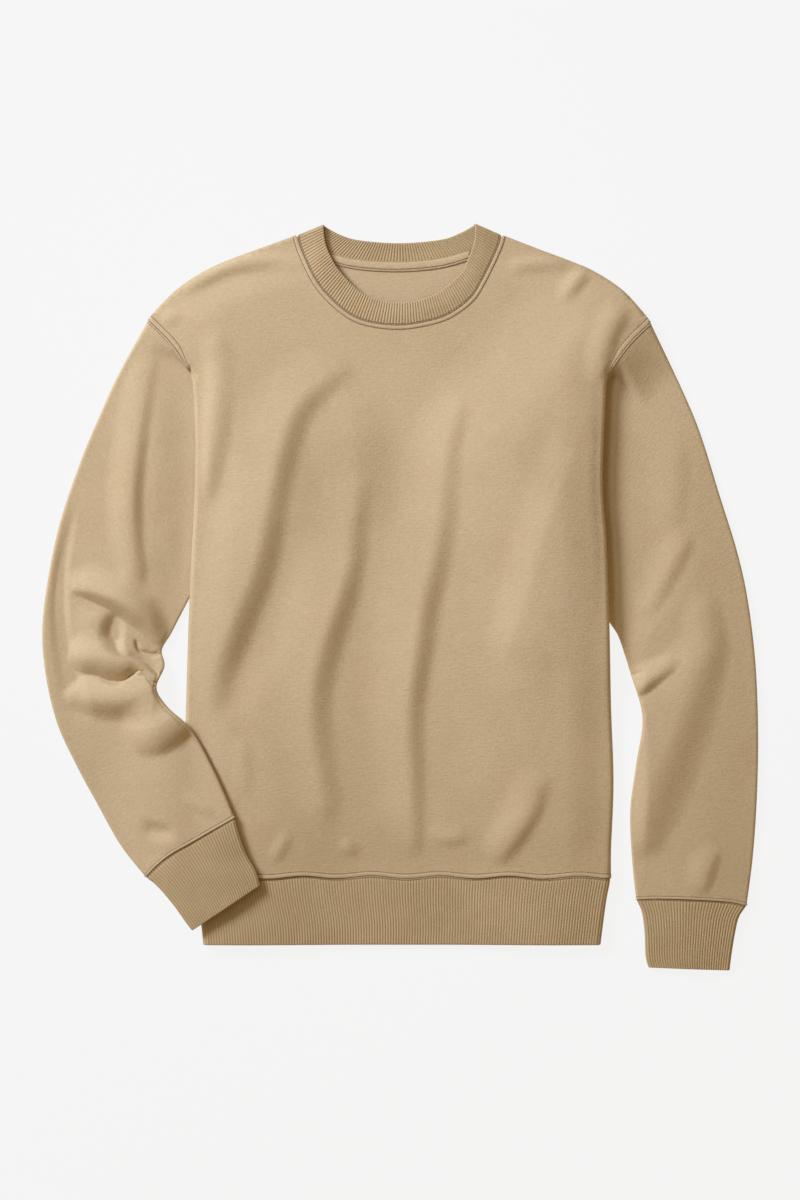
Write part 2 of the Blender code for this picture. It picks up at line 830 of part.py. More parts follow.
def on_top_z(x, y):
    """The height of the body's front and hem, eased down to the surface beyond the crease."""
    crease = RIGHT.crease_x(y)
    inner_x = max(x, crease + FOLD_INSET)
    body = front_z(inner_x, max(y, HEM_SEAM_Y)) + CLOTH / 2
    hem = hem_front_z(inner_x, y) + RIB / 2 + RIB_RAISE
    above_hem = ease(*HEM_STEP_ROWS, y - HEM_SEAM_Y)
    return (mix(hem, body, above_hem) + ON_TOP_MARGIN) * (1 - ease(*ON_TOP_REACH, crease - x))


class Sleeve:
    """A sleeve or cuff as it lies: stations across it give its two edges."""

    def __init__(self, side, stations, first, last, folds, puff, edge_puff, step, over_body):
        self.side = side
        self.stations = stations
        self.first = Curve(first)
        self.last = Curve(last) if last else None
        self.from_armhole = first in (ARMHOLE_RIGHT, ARMHOLE_LEFT)
        self.seam_share = self.find_seam_share()
        self.folds = folds
        self.puff = puff
        self.edge_puff = edge_puff
        self.step = step
        self.over_body = over_body
        middle = [((r[0] + r[2]) / 2, (r[1] + r[3]) / 2) for r in stations]
        self.lengths = [0.0]
        for a, b in zip(middle, middle[1:]):
            self.lengths.append(self.lengths[-1] + math.dist(a, b))
        self.length = self.lengths[-1]

    def station(self, v):
        """Outer and inner edge at v millimetres down the middle."""
        v = clamp(v, 0.0, self.length)
        for i in range(len(self.lengths) - 1):
            if v <= self.lengths[i + 1]:
                share = (v - self.lengths[i]) / (self.lengths[i + 1] - self.lengths[i])
                return spline_point(self.stations, i + share)
        return self.stations[-1]

    def plan(self, w, v):
        ox, oy, ix, iy = self.station(v)
        x = mix(ox, ix, w)
        y = mix(oy, iy, w)
        for curve, row, away in (
            (self.first, self.stations[0], v),
            (self.last, self.stations[-1], self.length - v),
        ):
            if curve:
                near = (1 - ease(0, SEAM_REACH * self.length, away)) ** 2
                cx, cy = curve.at(w)
                x += (cx - mix(row[0], row[2], w)) * near
                y += (cy - mix(row[1], row[3], w)) * near
        return x, y

    def base(self, x, y):
        if not self.over_body:
            return 0.0
        return on_top_z(x, y) * ease(*FOREARM_LEVELS_Y, y)

    def opened(self, x, y, w, v):
        """The distance between the middles of the lower and the upper layer."""
        beside = self.side.sign * (x - self.side.crease_x(min(y, self.side.top_y)))
        free = ease(*OPENS_BESIDE_BODY, beside) + ease(0, HEAD_TOP_REACH, y - self.side.top_y)
        if self.over_body:
            free += ease(*FOREARM_OPENS_Y, y)
        free = clamp(free)
        begun = ease(0, HEAD_OPENS_OVER, v) if self.from_armhole else 1.0
        bell = math.sin(math.pi * clamp(w)) ** 1.5
        soft = ease(0, SLEEVE_SOFT_EDGE, w) * ease(0, SLEEVE_SOFT_EDGE, 1 - w)
        gap = self.edge_puff + self.puff * bell + folds_at(x, y, self.folds) * soft
        gap = self.step + max(0.0, gap) * free * begun
        if self.from_armhole:
            rise = front_z(*self.first.at(w)) - CLOTH / 2 - CLOTH_STEP
            low, high = HEAD_RISE_SHARES
            near_seam = 1 - ease(0, HEAD_RISE_LENGTH, v)
            gap += rise * near_seam * (1 - ease(self.seam_share - low, self.seam_share - high, w))
        return gap

    def find_seam_share(self):
        """The share of the armhole at which it goes under the body."""
        if not self.from_armhole:
            return 0.0
        for i in range(201):
            if self.first.at(i / 200)[1] <= self.side.top_y:
                return i / 200
        return 1.0

    def place(self, wall):
        """The middle of the wall, where u goes over the top (0 to 1), round the inner edge, back
        beneath (2 to 3) and round the outer edge."""

        def at(u, v):
            u = u % 4
            ox, oy, ix, iy = self.station(v)
            width = math.dist((ox, oy), (ix, iy))
            outer = self.plan(0, v)
            inner = self.plan(1, v)
            outer_r = self.opened(*outer, 0, v) / 2
            inner_r = self.opened(*inner, 1, v) / 2
            start = (outer_r + wall / 2) / width
            end = 1 - (inner_r + wall / 2) / width
            if u <= 1:
                w = mix(start, end, u)
                x, y = self.plan(w, v)
                z = wall / 2 + self.opened(x, y, w, v)
            elif u <= 2:
                turn = (u - 1) * math.pi
                w = end + inner_r * math.sin(turn) / width
                x, y = self.plan(w, v)
                radius = self.opened(*self.plan(end, v), end, v) / 2
                z = wall / 2 + radius * (1 + math.cos(turn))
            elif u <= 3:
                w = mix(end, start, u - 2)
                x, y = self.plan(w, v)
                z = wall / 2
            else:
                turn = (u - 3) * math.pi
                w = start - outer_r * math.sin(turn) / width
                x, y = self.plan(w, v)
                radius = self.opened(*self.plan(start, v), start, v) / 2
                z = wall / 2 + radius * (1 - math.cos(turn))
            return Vector((x, y, z + self.base(x, y)))

        return at


def columns(counts):
    """Columns of a ring whose parts are split into counts, each plain."""
    found = []
    for part, count in enumerate(counts):
        found += [(part + i / count, 0.0) for i in range(count)]
    return found


def ribbed(counts, part, ribs, fade=0.0):
    """The same, with ribs over one part of the ring: a crest and a valley for each."""
    found = []
    for index, count in enumerate(counts):
        if index != part:
            found += [(index + i / count, 0.0) for i in range(count)]
            continue
        for i in range(2 * ribs):
            share = i / (2 * ribs)
            near_end = ease(0, fade, share) * ease(0, fade, 1 - share) if fade else 1.0
            found.append((index + share, RIB_RAISE * near_end * (i % 2)))
    return found


def add_sleeve(name, sleeve, surface):
    rows = round(sleeve.length / SLEEVE_STEP)
    vs = [mix(2 * SEAM_GAP, sleeve.length - 2 * SEAM_GAP, i / rows) for i in range(rows + 1)]
    ring = columns(TUBE_PARTS)
    return add_tube(name, sleeve.place(CLOTH), vs, ring, ring, CLOTH, surface, sleeve.side.sign < 0)


def add_cuff(name, cuff, surface):
    width = math.dist(cuff.stations[2][:2], cuff.stations[2][2:])
    ribs = round(width / RIB_PITCH)
    outer = ribbed(TUBE_PARTS, 0, ribs)
    inner = columns(TUBE_PARTS)
    vs = [mix(SEAM_GAP / 2, cuff.length - RIB_EDGE, share) for share in CUFF_ROWS]
    place = cuff.place(RIB)
    flip = cuff.side.sign < 0
    return add_tube(name, place, vs, outer, inner, RIB, surface, flip, cuff.length)


# Hem band ---------------------------------------------------------------------------------------


def hem_back_z(x, y):
    side = side_of(x)
    beyond = abs(side.crease_x(y)) - STRIP_AT_RIB - abs(x)
    share = 1 - ease(DRAPE_MARGIN, DRAPE_MARGIN + DRAPE, beyond)
    return RIB / 2 + (RIB_STEP + 2 * HEM_INNER_FOLD_R) * share


def hem_front_z(x, y):
    side = side_of(x)
    away = abs(side.crease_x(y)) - abs(x)
    return hem_back_z(x, y) + RIB_STEP + HEM_AIR * ease(0, EDGE_SOFTNESS, away)


def hem_fold(side, y):
    """Where the hem's front starts to turn under, and the radius that it turns with."""
    edge = abs(side.crease_x(y))
    radius = (hem_front_z(side.sign * edge, y) - RIB / 2) / 2
    return edge - radius - RIB / 2, radius


def hem_place(u, v):
    """u goes over the front (0 to 1), round the left side's folds (1 to 6), back beneath (6 to 7) and
    round the right side's folds (7 to 12). v is the distance below the seam."""
    u = u % 12
    y = HEM_SEAM_Y - v
    part = int(u)
    share = u - part
    side = LEFT if part < 7 else RIGHT
    if part > 6:
        # the right side runs through the left side's parts backwards
        part = 12 - part
        share = 1 - share
    start, outer_r = hem_fold(side, y)
    seam = start - STRIP_AT_RIB + outer_r
    inner_low = RIB / 2 + RIB_STEP
    if part == 0:
        x = mix(-hem_fold(RIGHT, y)[0], start, share)
        return Vector((x, y, hem_front_z(x, y)))
    if part == 6:
        x = mix(start, -hem_fold(RIGHT, y)[0], share)
        return Vector((x, y, hem_back_z(x, y)))
    if part == 1:
        turn = share * math.pi
        m = start + outer_r * math.sin(turn)
        z = RIB / 2 + outer_r * (1 + math.cos(turn))
    elif part == 2:
        m = mix(start, seam, share)
        z = RIB / 2
    elif part == 3:
        turn = share * math.pi
        m = seam - RIB_STEP / 2 * math.sin(turn)
        z = RIB / 2 + RIB_STEP / 2 * (1 - math.cos(turn))
    elif part == 4:
        m = mix(seam, start, share)
        z = inner_low
    else:
        turn = share * math.pi
        inner_r = (hem_back_z(side.crease_x(y), y) - inner_low) / 2
        m = start + inner_r * math.sin(turn)
        z = inner_low + inner_r * (1 - math.cos(turn))
    return Vector((side.sign * m, y, z))


def add_hem(surface):
    width = abs(LEFT.crease_x(HEM_SEAM_Y)) + abs(RIGHT.crease_x(HEM_SEAM_Y)) - 2 * FOLD_INSET
    ribs = round(width / RIB_PITCH)
    outer = ribbed(HEM_PARTS, 0, ribs)
    inner = columns(HEM_PARTS)
    height = HEM_SEAM_Y - HEM_BOTTOM_Y
    rows = [SEAM_GAP / 2, height / 2, height - RIB_EDGE]
    return add_tube("hem_rib", hem_place, rows, outer, inner, RIB, surface, True, height)


# Neckband and tape ------------------------------------------------------------------------------

FRONT_SEAM_CURVE = Curve(FRONT_NECK)
FRONT_RIM_CURVE = Curve(FRONT_RIM)
BACK_SEAM_CURVE = Curve(BACK_NECK[::-1])
BACK_RIM_CURVE = Curve(BACK_RIM[::-1])


def neck_front_z(x, y):
    return front_z(x, y) + RIB_STEP - CLOTH_STEP + (RIB - CLOTH) / 2


def neck_place(u, v):
    """u goes round the front (0 to 1), the left tip, the back (2 to 3) and the right tip. v runs from
    the seam (0) to the free edge (1)."""
    u = u % 4
    fold_r = RIB_STEP / 2
    inset = (fold_r + RIB / 2) / FRONT_SEAM_CURVE.length

    def front(share):
        a = FRONT_SEAM_CURVE.at(share)
        b = FRONT_RIM_CURVE.at(share)
        return Vector((mix(a[0], b[0], v), mix(a[1], b[1], v)))

    def back(share):
        a = BACK_SEAM_CURVE.at(share)
        b = BACK_RIM_CURVE.at(share)
        return Vector((mix(a[0], b[0], v), mix(a[1], b[1], v)))

    if u <= 1:
        x, y = front(mix(inset, 1 - inset, u))
        return Vector((x, y, neck_front_z(x, y)))
    if 2 <= u <= 3:
        x, y = back(mix(inset, 1 - inset, u - 2))
        return Vector((x, y, RIB / 2))
    left = u < 2
    turn = (u - 1 if left else u - 3) * math.pi
    ends = (front(1 - inset), back(inset)) if left else (back(1 - inset), front(inset))
    out = (front(1.0) - front(1 - inset)) if left else (front(0.0) - front(inset))
    flat = ends[0].lerp(ends[1], turn / math.pi) + out.normalized() * fold_r * math.sin(turn)
    high = neck_front_z(*front(1 - inset if left else inset))
    low = RIB / 2
    swing = math.cos(turn) if left else -math.cos(turn)
    return Vector((flat[0], flat[1], (high + low) / 2 + (high - low) / 2 * swing))


def add_neck_rib(surface):
    front_ribs = round((FRONT_SEAM_CURVE.length + FRONT_RIM_CURVE.length) / 2 / RIB_PITCH)
    back_ribs = round((BACK_SEAM_CURVE.length + BACK_RIM_CURVE.length) / 2 / RIB_PITCH)
    outer = ribbed(NECK_PARTS, 0, front_ribs, NECK_FRONT_FADE)
    inner = ribbed(NECK_PARTS, 2, back_ribs, NECK_BACK_FADE)
    rows = [0.0, 0.5, 1 - RIB_EDGE / NECK_RIB_HEIGHT]
    return add_tube("neck_rib", neck_place, rows, outer, inner, RIB, surface, False, 1.0)


def tape_place(x, y):
    return Vector((x, y, BACK.top(x, y) + CLOTH / 2 + SEAM_GAP + TAPE / 2))


def add_neck_tape(surface):
    upper = [(x, y - SEAM_GAP) for x, y in Curve(BACK_NECK).spaced(TAPE_WIDTH, *TAPE_SPAN)]
    lower = [(x, y - TAPE_WIDTH) for x, y in upper]
    outline = lower + upper[::-1]
    return add_sheet("neck_tape", outline, [], tape_place, TAPE, surface)


def clear_scene():
    for old in list(bpy.data.objects):
        bpy.data.objects.remove(old)


def centre_on_origin(objects):
    """Puts the garment's box over the origin, with its lowest point at Z = 0."""
    corners = [vertex.co for made in objects for vertex in made.data.vertices]
    low = Vector([min(point[axis] for point in corners) for axis in range(3)])
    high = Vector([max(point[axis] for point in corners) for axis in range(3)])
    shift = Vector(((low.x + high.x) / 2, (low.y + high.y) / 2, low.z))
    for made in objects:
        for vertex in made.data.vertices:
            vertex.co -= shift


def main():
    clear_scene()
    fleece = material("fleece", TAN, 0.9)
    rib = material("rib", TAN_RIB, 0.9)
    objects = [
        add_panel("front", FRONT, neck_cut(FRONT_NECK), fleece),
        add_panel("back", BACK, neck_cut(BACK_NECK, BACK_NECK_CORNER), fleece),
    ]
    sleeve_right = Sleeve(
        RIGHT, SLEEVE_RIGHT, ARMHOLE_RIGHT, CUFF_SEAM_RIGHT, SLEEVE_RIGHT_FOLDS,
        SLEEVE_PUFF, SLEEVE_EDGE_PUFF, CLOTH_STEP, True,
    )
    sleeve_left = Sleeve(
        LEFT, SLEEVE_LEFT, ARMHOLE_LEFT, CUFF_SEAM_LEFT, SLEEVE_LEFT_FOLDS,
        SLEEVE_PUFF, SLEEVE_EDGE_PUFF, CLOTH_STEP, False,
    )
    cuff_right = Sleeve(
        RIGHT, CUFF_RIGHT, CUFF_SEAM_RIGHT, None, (), CUFF_PUFF, CUFF_PUFF, RIB_STEP, True,
    )
    cuff_left = Sleeve(
        LEFT, CUFF_LEFT, CUFF_SEAM_LEFT, None, (), CUFF_PUFF, CUFF_PUFF, RIB_STEP, False,
    )
    objects.append(add_sleeve("sleeve_right", sleeve_right, fleece))
    objects.append(add_sleeve("sleeve_left", sleeve_left, fleece))
    objects.append(add_cuff("cuff_right", cuff_right, rib))
    objects.append(add_cuff("cuff_left", cuff_left, rib))
    objects.append(add_hem(rib))
    objects.append(add_neck_rib(rib))
    objects.append(add_neck_tape(fleece))
    centre_on_origin(objects)


main()
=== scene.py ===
import math

import bpy
import numpy as np
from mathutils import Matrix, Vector
from mathutils.geometry import delaunay_2d_cdt


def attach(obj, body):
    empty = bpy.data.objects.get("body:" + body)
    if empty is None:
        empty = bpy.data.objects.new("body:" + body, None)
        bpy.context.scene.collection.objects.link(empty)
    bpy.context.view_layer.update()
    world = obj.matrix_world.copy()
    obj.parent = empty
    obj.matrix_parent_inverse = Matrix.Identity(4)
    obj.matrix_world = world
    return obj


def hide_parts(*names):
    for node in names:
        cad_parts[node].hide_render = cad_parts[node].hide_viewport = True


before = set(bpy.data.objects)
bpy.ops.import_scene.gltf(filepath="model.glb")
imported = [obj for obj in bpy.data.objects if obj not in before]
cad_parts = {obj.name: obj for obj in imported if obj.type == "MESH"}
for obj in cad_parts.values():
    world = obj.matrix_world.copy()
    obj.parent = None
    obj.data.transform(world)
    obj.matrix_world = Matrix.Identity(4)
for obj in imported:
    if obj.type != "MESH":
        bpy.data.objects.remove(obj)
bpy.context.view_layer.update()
print("frame loaded:", ", ".join(sorted(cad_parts)))

# A crewneck sweatshirt laid flat: heavy tan fleece with rib neckband, cuffs and hem.
# Shapes are worked out in millimetres, +Y to the neck, and "right" and "left" are the wearer's.
mm = 0.001

layout = {  # how the cloth lies
    "shift": (-0.12, -0.39, 0.0),
    "cloth": 2.0, "rib": 2.4, "tape": 0.8, "gap": 0.4, "seamGap": 0.05,
    "hemSeamY": -280.0, "hemBottomY": -347.6, "armpitY": 145.0,
    "stripArmpit": 75.0, "stripHem": 52.0, "stripRib": 36.0,  # how far the sides are turned under
    "outerFold": 4.0, "innerFold": 1.6, "hemInnerFold": 1.45,
    "sleeveStack": (5.0, 10.5), "drape": 118.0, "drapeMargin": 6.0,
    "air": 4.8, "hemAir": 1.6, "airSoftness": 48.0, "foldSoftness": 14.0,
    "hemWave": 1.4, "hemWaveLength": 69.0, "hemWaveShift": 132.0, "hemWaveReach": 20.0,
    "airLost": 0.7, "airFades": 60.0, "shoulderSoftness": 5.0,  # towards the hem, and at the shoulder's edge
    "seamReach": 0.16, "tuck": 2.5,  # how far a sleeve follows its end seams, and lies in under the body
}
clothStep = layout["cloth"] + layout["gap"]
ribStep = layout["rib"] + layout["gap"]
foldInset = layout["outerFold"] + layout["cloth"] / 2

# Outlines of the laid garment, x and y
shoulderRight = [(-104.2, 362.6), (-150, 345.7), (-190, 329), (-220, 310.4), (-240, 291.4), (-252, 277.4)]
shoulderLeft = [(103, 362.6), (150, 344.4), (190, 328.4), (220.6, 308.7), (240, 287.9), (250.4, 274.8)]
armholeRight = [(-252, 277.4), (-234, 260), (-222.6, 246.4), (-210, 228.4), (-175, 183), (-132, 145)]
armholeLeft = [(250.4, 274.8), (232.6, 257.7), (221.2, 244.1), (206.5, 224.8), (172, 181), (128, 145)]
creaseRight = [
    (-209.5, 228.4), (-206, 200), (-204, 138.4), (-206.3, 79.4), (-209.5, 14.4), (-214.5, -121.6),
    (-215.5, -182.6), (-213, -251.6), (-211.5, -278), (-206, -302.6), (-199.5, -326), (-197.2, -347.3),
]
creaseLeft = [
    (206, 224.8), (204.6, 196), (201.5, 116.4), (205.4, 57.4), (208.3, -19.6), (210.6, -103.6),
    (213.5, -182.6), (211, -251.6), (210.6, -279), (206.6, -302.6), (203.2, -327.6), (200.6, -348.6),
]
frontNeck = [
    (-102.8, 362.4), (-98, 346), (-85, 318.4), (-70, 299.4), (-50, 282.7), (-30, 274.9), (0, 271.9),
    (30, 276.4), (50, 283.6), (70, 298.4), (80, 313.4), (90, 333), (98.8, 352.9), (101.4, 362.6),
]
frontRim = [
    (-76.6, 372.5), (-75, 356.4), (-70, 342.4), (-60, 326.1), (-40, 306.1), (-20, 296.6), (0, 294.9),
    (20, 297.5), (40, 306.1), (60, 323.4), (66.7, 335.6), (74.2, 356.4), (74.9, 373.4),
]
backNeck = [
    (-102.8, 362.4), (-86, 351.5), (-67, 343.4), (-40, 337.6), (0, 335.6), (40, 339.1), (71, 347.7),
    (88, 355), (101.4, 362.6),
]
backRim = [(-76.6, 372.5), (-60, 363.4), (-40, 357.8), (0, 355), (40, 358.4), (60, 365.1), (74.9, 373.4)]
cuffSeamRight = [
    (-254, -279.6), (-242, -267.2), (-228, -256), (-208, -244.6), (-177.5, -227.1), (-164.3, -219.6),
]
cuffSeamLeft = [(347, -308.8), (330, -305), (298, -302.6), (259, -301.6), (236.4, -302.6)]

# Stations down a sleeve or cuff: outer x, outer y, inner x, inner y
sleeveRightStations = [
    (-252, 277.4, -132, 145), (-280, 227.4, -155, 103.4), (-300, 184.4, -178, 61.4),
    (-320, 136.4, -195, 29.4), (-340, 77.4, -214, -6.6), (-351.5, 25.4, -229, -35.6),
    (-358.3, -28.6, -238.6, -53), (-355.5, -74.6, -235.6, -68.6), (-344, -124.6, -243, -90),
    (-325, -166.6, -232, -109), (-304, -205.6, -208, -132), (-280, -247.6, -184, -175),
    (-254, -279.6, -164.3, -219.6),
]
sleeveLeftStations = [
    (250.4, 274.8, 128, 145), (280, 213.4, 152, 97.4), (300, 165.9, 174, 56.4), (320, 102.4, 194, 15.4),
    (337, 48, 207, -20), (347.5, 2, 219, -40), (354.8, -52.6, 231.5, -78.6), (358, -103.6, 242.5, -120),
    (358.6, -158.6, 236.5, -165.6), (356.8, -212.6, 230.5, -212.6), (353, -262.6, 232, -258),
    (347, -308.8, 236.4, -302.6),
]
cuffRightStations = [
    (-254, -279.6, -164.3, -219.6), (-242, -289, -161.5, -231.6), (-226, -307.6, -154, -253.6),
    (-213, -325.6, -143.5, -273), (-207.6, -332.4, -139.6, -287),
]
cuffLeftStations = [
    (347, -308.8, 236.4, -302.6), (339.6, -319.6, 241.8, -314.6), (335.2, -338.6, 244.6, -335.6),
    (332, -358.6, 245.6, -359.6), (330.2, -373.4, 248.6, -370.4),
]


def mix(a, b, share):
    return a + (b - a) * share


def ease(low, high, value):  # 0 below low, 1 above high
    share = np.clip((np.asarray(value, float) - low) / (high - low), 0.0, 1.0)
    return share * share * (3.0 - 2.0 * share)


def splineAt(rows, place):  # Catmull-Rom at a place counted in rows
    rows = np.asarray(rows, float)
    padded = np.vstack([rows[:1], rows, rows[-1:]])
    i = np.clip(np.floor(place).astype(int), 0, len(rows) - 2)
    t = (place - i)[..., None]
    p, q, r, s = (padded[i + k] for k in range(4))
    bend = (2 * p - 5 * q + 4 * r - s) * t ** 2 + (3 * q - p - 3 * r + s) * t ** 3
    return q + 0.5 * ((r - p) * t + bend)


def smoothLine(points, pieces=8):
    return splineAt(points, np.arange((len(points) - 1) * pieces + 1) / pieces)


def lengthsOf(line):
    steps = np.hypot(*np.diff(line[:, :2], axis=0).T)
    return np.concatenate([[0.0], np.cumsum(steps)])


def pointAt(line, share):  # by share of the line's length
    lengths = lengthsOf(line)
    place = np.clip(share, 0.0, 1.0) * lengths[-1]
    return [np.interp(place, lengths, line[:, column]) for column in range(line.shape[1])]


def pointsAt(line, shares):
    return np.column_stack(pointAt(line, shares))


def spaced(line, step, start=0.0, end=1.0):
    count = max(2, round(lengthsOf(line)[-1] * (end - start) / step))
    return pointsAt(line, np.linspace(start, end, count + 1))


def offsetLine(line, distance):  # to the left of the line's run
    run = np.gradient(line[:, :2], axis=0)
    run /= np.maximum(np.hypot(run[:, 0], run[:, 1]), 1e-9)[:, None]
    return line[:, :2] + np.reshape(distance, (-1, 1)) * np.column_stack([-run[:, 1], run[:, 0]])


def nearest(x, y, line):  # distance, place along in points, and +1 on the left of the run
    best = np.full(x.shape, 1e9)
    place = np.zeros(x.shape)
    side = np.ones(x.shape)
    for i in range(len(line) - 1):
        dx, dy = line[i + 1, :2] - line[i, :2]
        relX = x - line[i, 0]
        relY = y - line[i, 1]
        t = np.clip((relX * dx + relY * dy) / max(dx * dx + dy * dy, 1e-9), 0.0, 1.0)
        away = np.hypot(relX - dx * t, relY - dy * t)
        closer = away < best
        best = np.where(closer, away, best)
        place = np.where(closer, i + t, place)
        side = np.where(closer, np.where(dx * relY - dy * relX >= 0, 1.0, -1.0), side)
    return best, place, side


def isInside(x, y, outline):
    inside = np.zeros(x.shape, bool)
    for (ax, ay), (bx, by) in zip(outline, np.roll(outline, -1, axis=0)):
        if ay == by:
            continue
        crosses = (ay > y) != (by > y)
        inside ^= crosses & (x < ax + (y - ay) * (bx - ax) / (by - ay))
    return inside


def distanceOutside(x, y, outline):
    closed = np.vstack([outline, outline[:1]])
    return np.where(isInside(x, y, outline), 0.0, nearest(x, y, closed)[0])


foldPieces = 6  # points to each stretch of a fold's run
foldBlend = 3.0  # mm beside the line in which a fold's two sides run into each other


def fold(run, profile=(0.0, 0.0), edge=None):
    return smoothLine(run, foldPieces), profile, edge and smoothLine(edge, 4)


def slope(run, profile=(0.0, 0.0)):
    line = smoothLine(run, foldPieces)
    line[:, :2] = offsetLine(line, -0.5 * line[:, 2:3])
    return line, profile, None


# Folds. Each point of a fold's run: x, y, reach to its left, reach to its right, height.
# A run that goes down the garment has +X on its left. A fold may have a profile for its left and right
# side: 0 is soft, up to 1 is sharp at the top, down to -1 is sharp at the foot. A slope is a fold whose
# run follows the middle of its steep left side, not its crest. Minus is a trough.
bodyFolds = [
    slope([  # the long fold from the chest to the right side
        (-38, 235, 16, 24, 0), (-55, 222, 18, 34, 2), (-74, 206, 22, 42, 4), (-96, 181, 25, 50, 6),
        (-108, 147, 26, 54, 7), (-118, 103, 26, 54, 7), (-125, 66, 27, 54, 6.4), (-133, 28, 29, 56, 5.6),
        (-143, -3, 30, 60, 5), (-158, -40, 31, 60, 4.6), (-171, -72, 28, 50, 3.8), (-179, -103, 24, 30, 2),
        (-184, -138, 18, 14, 0)], (0.0, 0.7)),
    fold([  # the trough at its foot
        (-104, 90, 30, 22, 0), (-112, 60, 38, 25, -1.6), (-120, 28, 44, 28, -3), (-130, -3, 46, 30, -4),
        (-145, -40, 46, 30, -4.2), (-158, -72, 40, 28, -3.4), (-166, -103, 30, 22, -1.8),
        (-172, -130, 22, 16, 0)]),
    slope([  # beside the right side's edge
        (-178, 278, 16, 16, 0), (-174, 253, 20, 18, 2), (-172, 217, 22, 18, 3.4), (-174, 177, 22, 18, 4.8),
        (-178, 147, 22, 17, 5.2), (-184, 116, 20, 14, 4.2), (-187, 84, 15, 10, 0)]),
    fold([  # soft one at the chest
        (-52, 218, 30, 30, 0), (-50, 187, 42, 42, 2), (-46, 157, 48, 48, 3.6), (-40, 117, 44, 46, 3.2),
        (-34, 85, 34, 40, 1.6), (-30, 60, 24, 30, 0)], (0.0, 0.3)),
    slope([  # middle right
        (-32, 134, 16, 24, 0), (-35, 107, 19, 36, 1.8), (-38, 77, 21, 46, 3.8), (-42, 35, 23, 50, 5.6),
        (-51, -3, 25, 52, 7.2), (-63, -40, 27, 50, 7.6), (-73, -78, 27, 46, 7), (-77, -109, 26, 44, 5.8),
        (-74, -153, 24, 38, 4.2), (-66, -203, 23, 30, 3.4), (-66, -242, 18, 22, 0)], (0.0, 0.7)),
    slope([  # middle
        (68, 202, 12, 24, 0), (64, 185, 16, 34, 2), (56, 153, 19, 44, 3.6), (52, 116, 22, 48, 3.8),
        (50, 85, 23, 50, 4.4), (42, 35, 24, 54, 5.6), (32, -9, 24, 56, 7), (26, -53, 24, 54, 7.4),
        (20, -90, 22, 50, 6.8), (17, -128, 21, 46, 5.6), (19, -184, 19, 38, 4.2), (19, -240, 15, 28, 2.4),
        (19, -268, 12, 20, 0)], (0.0, 0.7)),
    fold([  # wide one on the left
        (196, 226, 60, 22, 0), (188, 197, 90, 28, 1.4), (178, 157, 110, 36, 3), (164, 117, 110, 40, 4.2),
        (149, 77, 110, 38, 5), (136, 37, 110, 36, 5.6), (126, -3, 100, 34, 5.2), (113, -43, 80, 30, 3.6),
        (100, -80, 50, 24, 0)], (0.2, 0.4)),
    slope([
        (168, 36, 30, 36, 0), (160, -13, 38, 46, 1.2), (148, -63, 40, 46, 1.6), (145, -138, 34, 36, 0)]),
    slope([  # low on the left, over the hem
        (149, -168, 14, 24, 0), (144, -190, 16, 30, 2.6), (137, -215, 16, 32, 4.6),
        (122, -240, 15, 30, 4.8), (106, -260, 14, 26, 3.2), (96, -272, 12, 20, 0)]),
    slope([  # small ones above the hem
        (74, -239, 8, 14, 0), (60, -245, 9, 17, 1.8), (46, -246, 9, 17, 2), (34, -241, 9, 16, 1.2),
        (22, -234, 7, 12, 0)]),
    slope([
        (-36, -252, 8, 12, 0), (-48, -256, 9, 15, 1.6), (-57, -253, 9, 15, 1.6), (-66, -243, 8, 12, 0)]),
    slope([
        (-106, -228, 7, 10, 0), (-112, -246, 8, 12, 1.7), (-119, -259, 8, 12, 1.6), (-126, -270, 6, 9, 0)]),
    slope([
        (-153, -132, 9, 13, 0), (-152, -155, 11, 16, 1.3), (-149, -184, 11, 16, 1.2),
        (-148, -208, 9, 12, 0)]),
]
shoulderFolds = [  # these run into the garment's edge
    slope([
        (-96, 318, 12, 8, 0), (-112, 328, 14, 10, 1.8), (-130, 331, 14, 10, 3), (-150, 329, 14, 10, 4),
        (-172, 325, 14, 10, 4.6), (-192, 316, 14, 10, 4.2), (-208, 307, 13, 9, 2.8),
        (-219, 300, 12, 8, 0)]),
    slope([
        (180, 329, 10, 8, 0), (160, 329, 12, 9, 2), (140, 329, 12, 9, 2.6), (120, 327, 12, 9, 2.2),
        (105, 325, 10, 8, 0)]),
    slope([
        (192, 327, 8, 10, 0), (186, 319, 10, 12, 2.8), (178, 310, 11, 12, 3.6), (170, 300, 10, 12, 2.4),
        (162, 289, 8, 10, 0)]),
    slope([
        (232, 297, 12, 20, 0), (224, 279, 14, 22, 3.2), (215, 259, 14, 22, 4), (209, 241, 14, 22, 4),
        (206, 222, 13, 20, 2.4), (204, 200, 12, 16, 0)]),
    slope([(-214, 284, 10, 8, 0), (-226, 276, 12, 10, 2), (-236, 267, 10, 8, 0)]),
]
